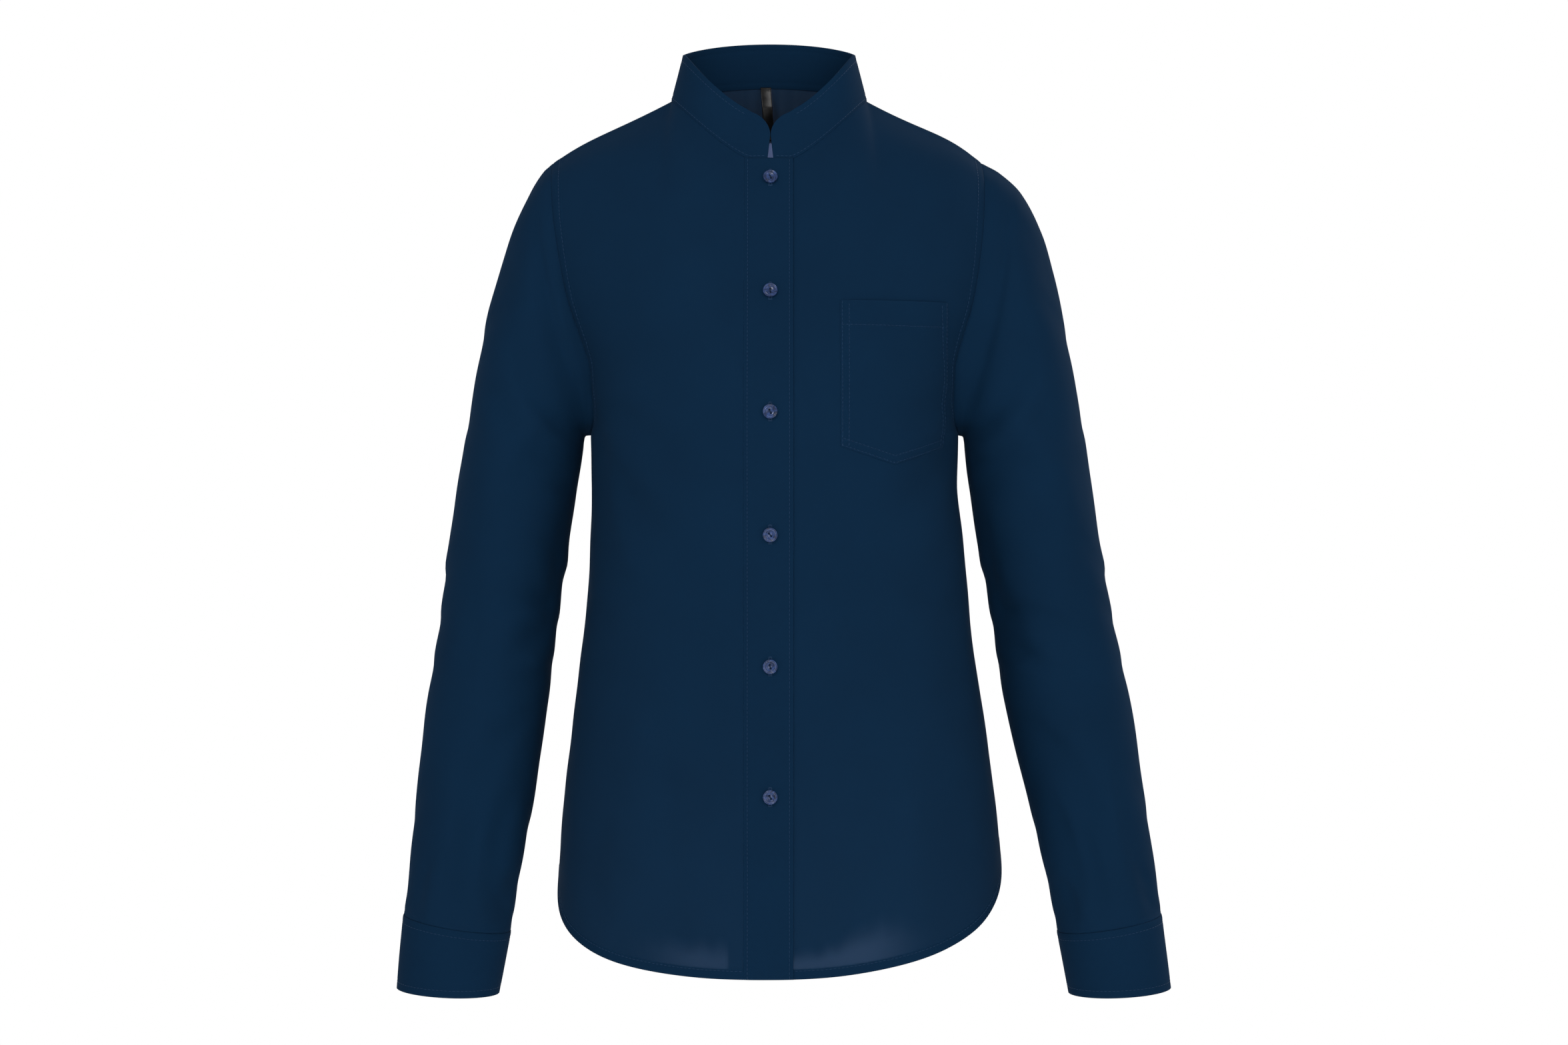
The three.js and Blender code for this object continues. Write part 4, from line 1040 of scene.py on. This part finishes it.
# A button on the plane z = 0. Each half of its dish is drawn as rings that widen from the half's hole to
# the half's edge, and the rim as a profile carried round the middle.
def buttonShape():
    away, dish = button["holeAway"], button["dish"]
    corner = math.atan2(-away, dish)
    curved = np.linspace(corner, math.pi - corner, 25)
    straight = np.linspace(math.pi - corner, 2 * math.pi + corner, 13)[:-1]
    turn = np.concatenate([curved[:-1], straight])
    b = away * np.sin(curved)
    edge = np.concatenate([
        (np.sqrt(b**2 + dish**2 - away**2) - b)[:-1],
        away / np.maximum(-np.sin(straight), 1e-9),
    ])
    share, wider, up = (np.array(holeRings[key], float)[:, None] for key in ("share", "wider", "up"))
    inner = button["holeRadius"] + wider
    reachOut = mix(inner, edge[None, :], share)
    half = point(reachOut * np.cos(turn), away + reachOut * np.sin(turn), up)
    middle = 1 - (half[..., 0] ** 2 + half[..., 1] ** 2) / dish**2
    half[..., 2] -= button["dished"] * middle * (up > 0.2)
    around = np.arctan2(half[-1, :25, 1], half[-1, :25, 0])[:24]
    around = np.concatenate([around, around + np.pi])
    radius, high = (np.array(buttonRim[key], float)[:, None] for key in ("radius", "up"))
    outline = point(radius * np.cos(around), radius * np.sin(around), high)
    return [half, half * [-1, -1, 1], outline]


# Quads of grids that are closed across, their shared points merged and their faces turned outwards.
def solidFrom(name, grids, material):
    points, faces, start = [], [], 0
    for grid in grids:
        rowCount, wide = grid.shape[:2]
        i, j = np.arange(rowCount - 1)[:, None], np.arange(wide)[None, :]
        k = (j + 1) % wide
        corners = np.broadcast_arrays(i * wide + j, i * wide + k, (i + 1) * wide + k, (i + 1) * wide + j)
        faces.append(np.stack(corners, axis=-1).reshape(-1, 4) + start)
        points.append(grid.reshape(-1, 3))
        start += rowCount * wide
    piece = meshFrom(name, np.concatenate(points), np.concatenate(faces))
    solid = bmesh.new()
    solid.from_mesh(piece.data)
    bmesh.ops.remove_doubles(solid, verts=solid.verts, dist=1e-6)
    bmesh.ops.recalc_face_normals(solid, faces=solid.faces)
    solid.to_mesh(piece.data)
    solid.free()
    piece.data.materials.append(material)
    return piece


# Where a button sits: below the node's middle on the cloth's outer points, with the directions to its
# right and up the cloth, turned by degrees, and the normal.
def seat(grid, node, turn):
    low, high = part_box(node)
    target = (np.array(low) + np.array(high)) / 2 / mm
    row, column = np.unravel_index(np.linalg.norm(grid - target, axis=-1).argmin(), grid.shape[:2])
    near = normalsOf(grid)[max(row - 3, 0) : row + 4, max(column - 3, 0) : column + 4]
    normal = unit(near.mean(axis=(0, 1)))
    place = target - normal * ((target - grid[row, column]) @ normal - button["lift"])
    up = unit(np.array([0, 0, 1]) - normal * normal[2])
    right = np.cross(up, normal)
    c, s = math.cos(math.radians(turn)), math.sin(math.radians(turn))
    return place, right * c + up * s, up * c - right * s, normal


def seated(points, place, right, up, normal):
    return place + points[..., :1] * right + points[..., 1:2] * up + points[..., 2:] * normal


# Three strands from hole to hole: a path that rises out of one hole, bows over the dish and goes down
# the other, carried as a tube.
def threadStrands():
    s, turn = np.linspace(-1, 1, 17)[:, None], np.radians(np.arange(0, 360, 60))[None, :]
    v = button["holeAway"] * np.clip(s / 0.8, -1, 1)
    up = 1.5 + 0.14 * (1 - s**2) - 1.9 * ease(abs(s), 0.72, 1.0)
    path = point(0, v, up)
    along = unit(np.gradient(path[:, 0], axis=0))[:, None]
    side = np.array([1.0, 0, 0])
    ring = side * np.cos(turn)[..., None] + np.cross(along, side) * np.sin(turn)[..., None]
    return [path + 0.17 * ring + np.array([x, 0, 0]) for x in (-0.3, 0.02, 0.33)]


# Polyester resin, cast and polished: clouded like pearl shell, with clear gloss on rim and dish.
def pearlResin(settings):
    material, tree, shader = newMaterial("pearlResin", {"IOR": 1.5, "Specular IOR Level": 0.18})
    place = addNode(tree, "ShaderNodeTexCoord")
    swirl = addNode(tree, "ShaderNodeTexNoise", {"Scale": 190.0, "Detail": 3.0, "Distortion": 2.2},
                    {"Vector": place.outputs["Object"]})  # clouds 3 to 5 mm across
    ramp = addNode(tree, "ShaderNodeMapRange", {"From Min": 0.35, "From Max": 0.68},
                   {"Value": swirl.outputs["Fac"]})
    ends = {"data_type": "RGBA", 6: linear(settings["dark"]), 7: linear(settings["pale"])}
    clouds = addNode(tree, "ShaderNodeMix", ends, {0: ramp.outputs["Result"]})
    fine = addNode(tree, "ShaderNodeTexNoise", {"Scale": 2600.0, "Detail": 2.0},
                   {"Vector": place.outputs["Object"]})
    ends = {"To Min": settings["roughness"], "To Max": settings["worn"]}
    wear = addNode(tree, "ShaderNodeMapRange", ends, {"Value": fine.outputs["Fac"]})
    polish = addNode(tree, "ShaderNodeBump", {"Strength": 0.08, "Distance": 0.0002},
                     {"Height": swirl.outputs["Fac"]})
    tree.links.new(clouds.outputs[2], shader.inputs["Base Color"])
    tree.links.new(wear.outputs["Result"], shader.inputs["Roughness"])
    tree.links.new(polish.outputs["Normal"], shader.inputs["Normal"])
    return material


# Twisted or woven filament: two tones of one dye in fine waves that also stand up a little.
def filament(name, tones, coordinates, waves, raised, sockets):
    material, tree, shader = newMaterial(name, sockets)
    place = addNode(tree, "ShaderNodeTexCoord")
    plies = addNode(tree, "ShaderNodeTexWave", waves, {"Vector": place.outputs[coordinates]})
    ends = {"data_type": "RGBA", 6: linear(tones[0]), 7: linear(tones[1])}
    colour = addNode(tree, "ShaderNodeMix", ends, {0: plies.outputs["Fac"]})
    ridges = addNode(tree, "ShaderNodeBump", {"Strength": raised, "Distance": 0.0001},
                     {"Height": plies.outputs["Fac"]})
    tree.links.new(colour.outputs[2], shader.inputs["Base Color"])
    tree.links.new(ridges.outputs["Normal"], shader.inputs["Normal"])
    return material


# Spun polyester thread, dyed with the cloth: two plies twisted round each other, a little glossier.
def spunThread(name, tones):
    waves = {"Scale": 900.0, "Distortion": 3.0, "Detail": 1.0}
    return filament(name, tones, "Object", waves, 0.3, {"Roughness": 0.6, "Specular IOR Level": 0.1})


# Satin ribbon of polyester filament: long floats across it that mirror the light in a band where it
# faces up.
def satinRibbon(name, tones, roughness):
    waves = {"Scale": 620.0, "Distortion": 1.5, "Detail": 2.0, "bands_direction": "Y"}
    sockets = {"Roughness": roughness, "Specular IOR Level": 0.1, "Anisotropic": 0.4}
    return filament(name, tones, "UV", waves, 0.15, sockets)


pearl = pearlResin(button)
seamThread = spunThread("seamThread", ("#0A1C30", "#152F4B"))
buttonThread = spunThread("buttonThread", ("#050D18", "#0E2036"))

seats = [(f"bandButton{n + 1}", f"button_{n + 1}", bandOuter, button["turns"][n], "down")
         for n in range(button["count"])]
seats += [("cuffButtonLeft", "cuff_button_left", cuffOuter[1], 0, "across"),
          ("cuffButtonRight", "cuff_button_right", cuffOuter[-1], 0, "across")]
shape, strands, holeStitches, sewnOn = buttonShape(), threadStrands(), [], []
buttonhole = {"long": 14, "pitch": 0.55, "apart": 0.95, "bite": 1.5, "bar": 2.6, "thread": 0.5, "high": 0.22}

for name, node, grid, turn, way in seats:
    placed = seat(grid, node, turn)
    piece = solidFrom(name, [seated(part, *placed) for part in shape], pearl)
    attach(piece, "root")
    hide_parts(node)
    sewnOn += [seated(strand, *placed) for strand in strands]

    # Buttonhole: close stitches on both sides of its slit and a bar across each end
    place, right, up, normal = seat(grid, node, 0)
    if way == "across":
        right, up = -up, right
    steps = np.arange(-buttonhole["long"] / 2, buttonhole["long"] / 2, buttonhole["pitch"])
    ends = np.array([-1, -1, 1, 1]) * buttonhole["long"] / 2 + np.array([0, 0.5, 0, 0.5])
    onCloth = place - normal * button["lift"]
    for at, side in ((steps, -1), (steps, 1), (ends, 0)):
        places = onCloth + up * at[:, None] + right * side * buttonhole["apart"]
        long = buttonhole["bar"] if side == 0 else buttonhole["bite"]
        holeStitches.append((places, np.tile(right, (len(at), 1)), np.tile(normal, (len(at), 1)), long))
print("buttons made")

threads = solidFrom("buttonThreads", sewnOn, buttonThread)
made = [spindles(*part, buttonhole["thread"], buttonhole["high"]) for part in holeStitches]
starts = np.cumsum([0] + [len(points) for points, _ in made[:-1]])
holes = meshFrom("buttonholeStitches", np.concatenate([points for points, _ in made]),
                 np.concatenate([faces + start for (_, faces), start in zip(made, starts)]))
holes.data.materials.append(seamThread)
stitches = meshFrom("seamStitches", *stitchMesh(stitchLines))
stitches.data.materials.append(seamThread)
for piece in (threads, holes, stitches):
    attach(piece, "root")
print("stitches made")

# Ribbon inside the back of the neck, and a pale tab below it whose colour is painted light

# cut is the width that the ribbon was woven to, before its edges rolled in
ribbon = {
    "x": -4, "z": 15.2, "y": 42.3, "width": 8.4, "cut": 10, "long": 42, "lean": 3, "thick": 0.5,
    "out": 2.3, "outEnds": (0.05, 0.4), "back": 4, "backEnds": (0.34, 0.95), "hollow": 0.25, "twist": 0.3,
}
# A pale strip under the ribbon: its pale blue is painted light, standing for the lit inside seen between the
# collar ends above the first button
tab = {
    "x": -3.2, "z": 14, "y": 43.6, "width": 7.2, "cut": 10, "long": 58, "lean": 4.2, "thick": 0.4,
    "out": 0.3, "outEnds": (0, 0.3), "back": 4.5, "backEnds": (0, 1), "hollow": 0.3, "twist": 0,
}


# A hanging ribbon: rows that come out towards the neck over the first part of the way down and go back
# over the rest, as two S curves, a little hollow and twisted across.
def hangingRibbon(settings):
    t, over = np.linspace(0, 1, 49)[:, None], np.linspace(-1, 1, 13)[None, :]
    out = settings["out"] * ease(t, *settings["outEnds"]) - settings["back"] * ease(t, *settings["backEnds"])
    out = out + settings["hollow"] * over**2 + settings["twist"] * over
    return point(settings["x"] + settings["lean"] * t + over * settings["width"] / 2,
                 settings["y"] - out - 1.2 * t, settings["z"] - settings["long"] * t)


blackSatin = satinRibbon("blackSatin", ("#040405", "#0A0A0B"), 0.24)
# The tab's pale blue satin is painted light seen between the collar ends
paintedLightSatin = satinRibbon("paintedLightSatin", ("#52628C", "#62729A"), 0.45)
neckRibbon, _ = clothPiece("neckRibbon", hangingRibbon(ribbon), ribbon["thick"], blackSatin)
paintedLightTab, _ = clothPiece("paintedLightTab", hangingRibbon(tab), tab["thick"], paintedLightSatin)
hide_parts("neck_label")
for piece, settings in ((neckRibbon, ribbon), (paintedLightTab, tab)):
    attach(piece, "root")
print("ribbons made")

# What stands for what, and what rides on the body

cutSizes = {  # width, length and flat area of what shows, in metres
    "frontLeftPanel": (panels["frontLeftPanel"], "front_left", 0.26, 0.70, 0.150),
    "frontRightPanel": (panels["frontRightPanel"], "front_right", 0.235, 0.70, 0.128),
    "backPanel": (panels["backPanel"], "back", 0.46, 0.72, 0.262),
    "sleeveLeft": (sleeves[1], "sleeve_left", 0.37, 0.60, 0.162),
    "sleeveRight": (sleeves[-1], "sleeve_right", 0.37, 0.60, 0.160),
    "cuffLeft": (cuffs[1], "cuff_left", 0.26, 0.055, None),
    "cuffRight": (cuffs[-1], "cuff_right", 0.26, 0.055, None),
    "collarBand": (collarPiece, "collar", 0.41, 0.04, None),
    "frontBand": (bandPiece, "front_band", 0.0375, 0.66, None),
    "chestPocket": (pocketPiece, "chest_pocket", 0.105, 0.125, None),
    "sleeveStripLeft": (strips[1], "sleeve_placket_left", 0.026, 0.10, None),
    "sleeveStripRight": (strips[-1], "sleeve_placket_right", 0.026, 0.10, None),
}
for piece, node, width, length, area in cutSizes.values():
    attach(piece, "root")
    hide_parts(node)

# Floor and light

floorSize = {"half": 3500, "z": -1400}
corner = floorSize["half"]
floor = meshFrom("floor", [(-corner, -corner, floorSize["z"]), (corner, -corner, floorSize["z"]),
                           (corner, corner, floorSize["z"]), (-corner, corner, floorSize["z"])],
                 [(0, 1, 2, 3)], smoothFaces=False)

# Uncoated paper: matt, nearly white, with a faint cloud of fibres.
paper, tree, shader = newMaterial("palePaper", {"Roughness": 0.9})
fibres = addNode(tree, "ShaderNodeTexNoise", {"Scale": 400.0, "Detail": 3.0})  # about 2 mm
ends = {"data_type": "RGBA", 6: linear("#F0F0EE"), 7: linear("#F5F5F4")}
pulp = addNode(tree, "ShaderNodeMix", ends, {0: fibres.outputs["Fac"]})
tree.links.new(pulp.outputs[2], shader.inputs["Base Color"])
floor.data.materials.append(paper)

world = bpy.data.worlds.new("studio")
bpy.context.scene.world = world
world.use_nodes = True
background = world.node_tree.nodes["Background"]
background.inputs["Color"].default_value = (1, 1, 1, 1)
background.inputs["Strength"].default_value = 1.0
softLights = {  # place and size in metres, and watts
    "keyLight": ((-0.9, -2.6, 1.3), 0.6, 45),
    "fillLight": ((1.7, -2.4, 0.3), 1.6, 28),
    "frontLight": ((0, -3.0, -0.7), 1.2, 32),
    "backLight": ((2.3, 1.9, 1.3), 0.9, 48),
}
shirtMiddle = np.array((0, 0, -0.35))
for name, (place, size, power) in softLights.items():
    lamp = bpy.data.lights.new(name, "AREA")
    lamp.size, lamp.energy = size, power
    light = bpy.data.objects.new(name, lamp)
    light.location = place
    aim = shirtMiddle - np.array(place)
    flat = math.hypot(aim[0], aim[1])
    light.rotation_euler = (math.atan2(flat, -aim[2]), 0, math.atan2(-aim[0], aim[1]))
    bpy.context.scene.collection.objects.link(light)
bpy.context.scene.view_settings.view_transform = "Standard"

print("scene ready")
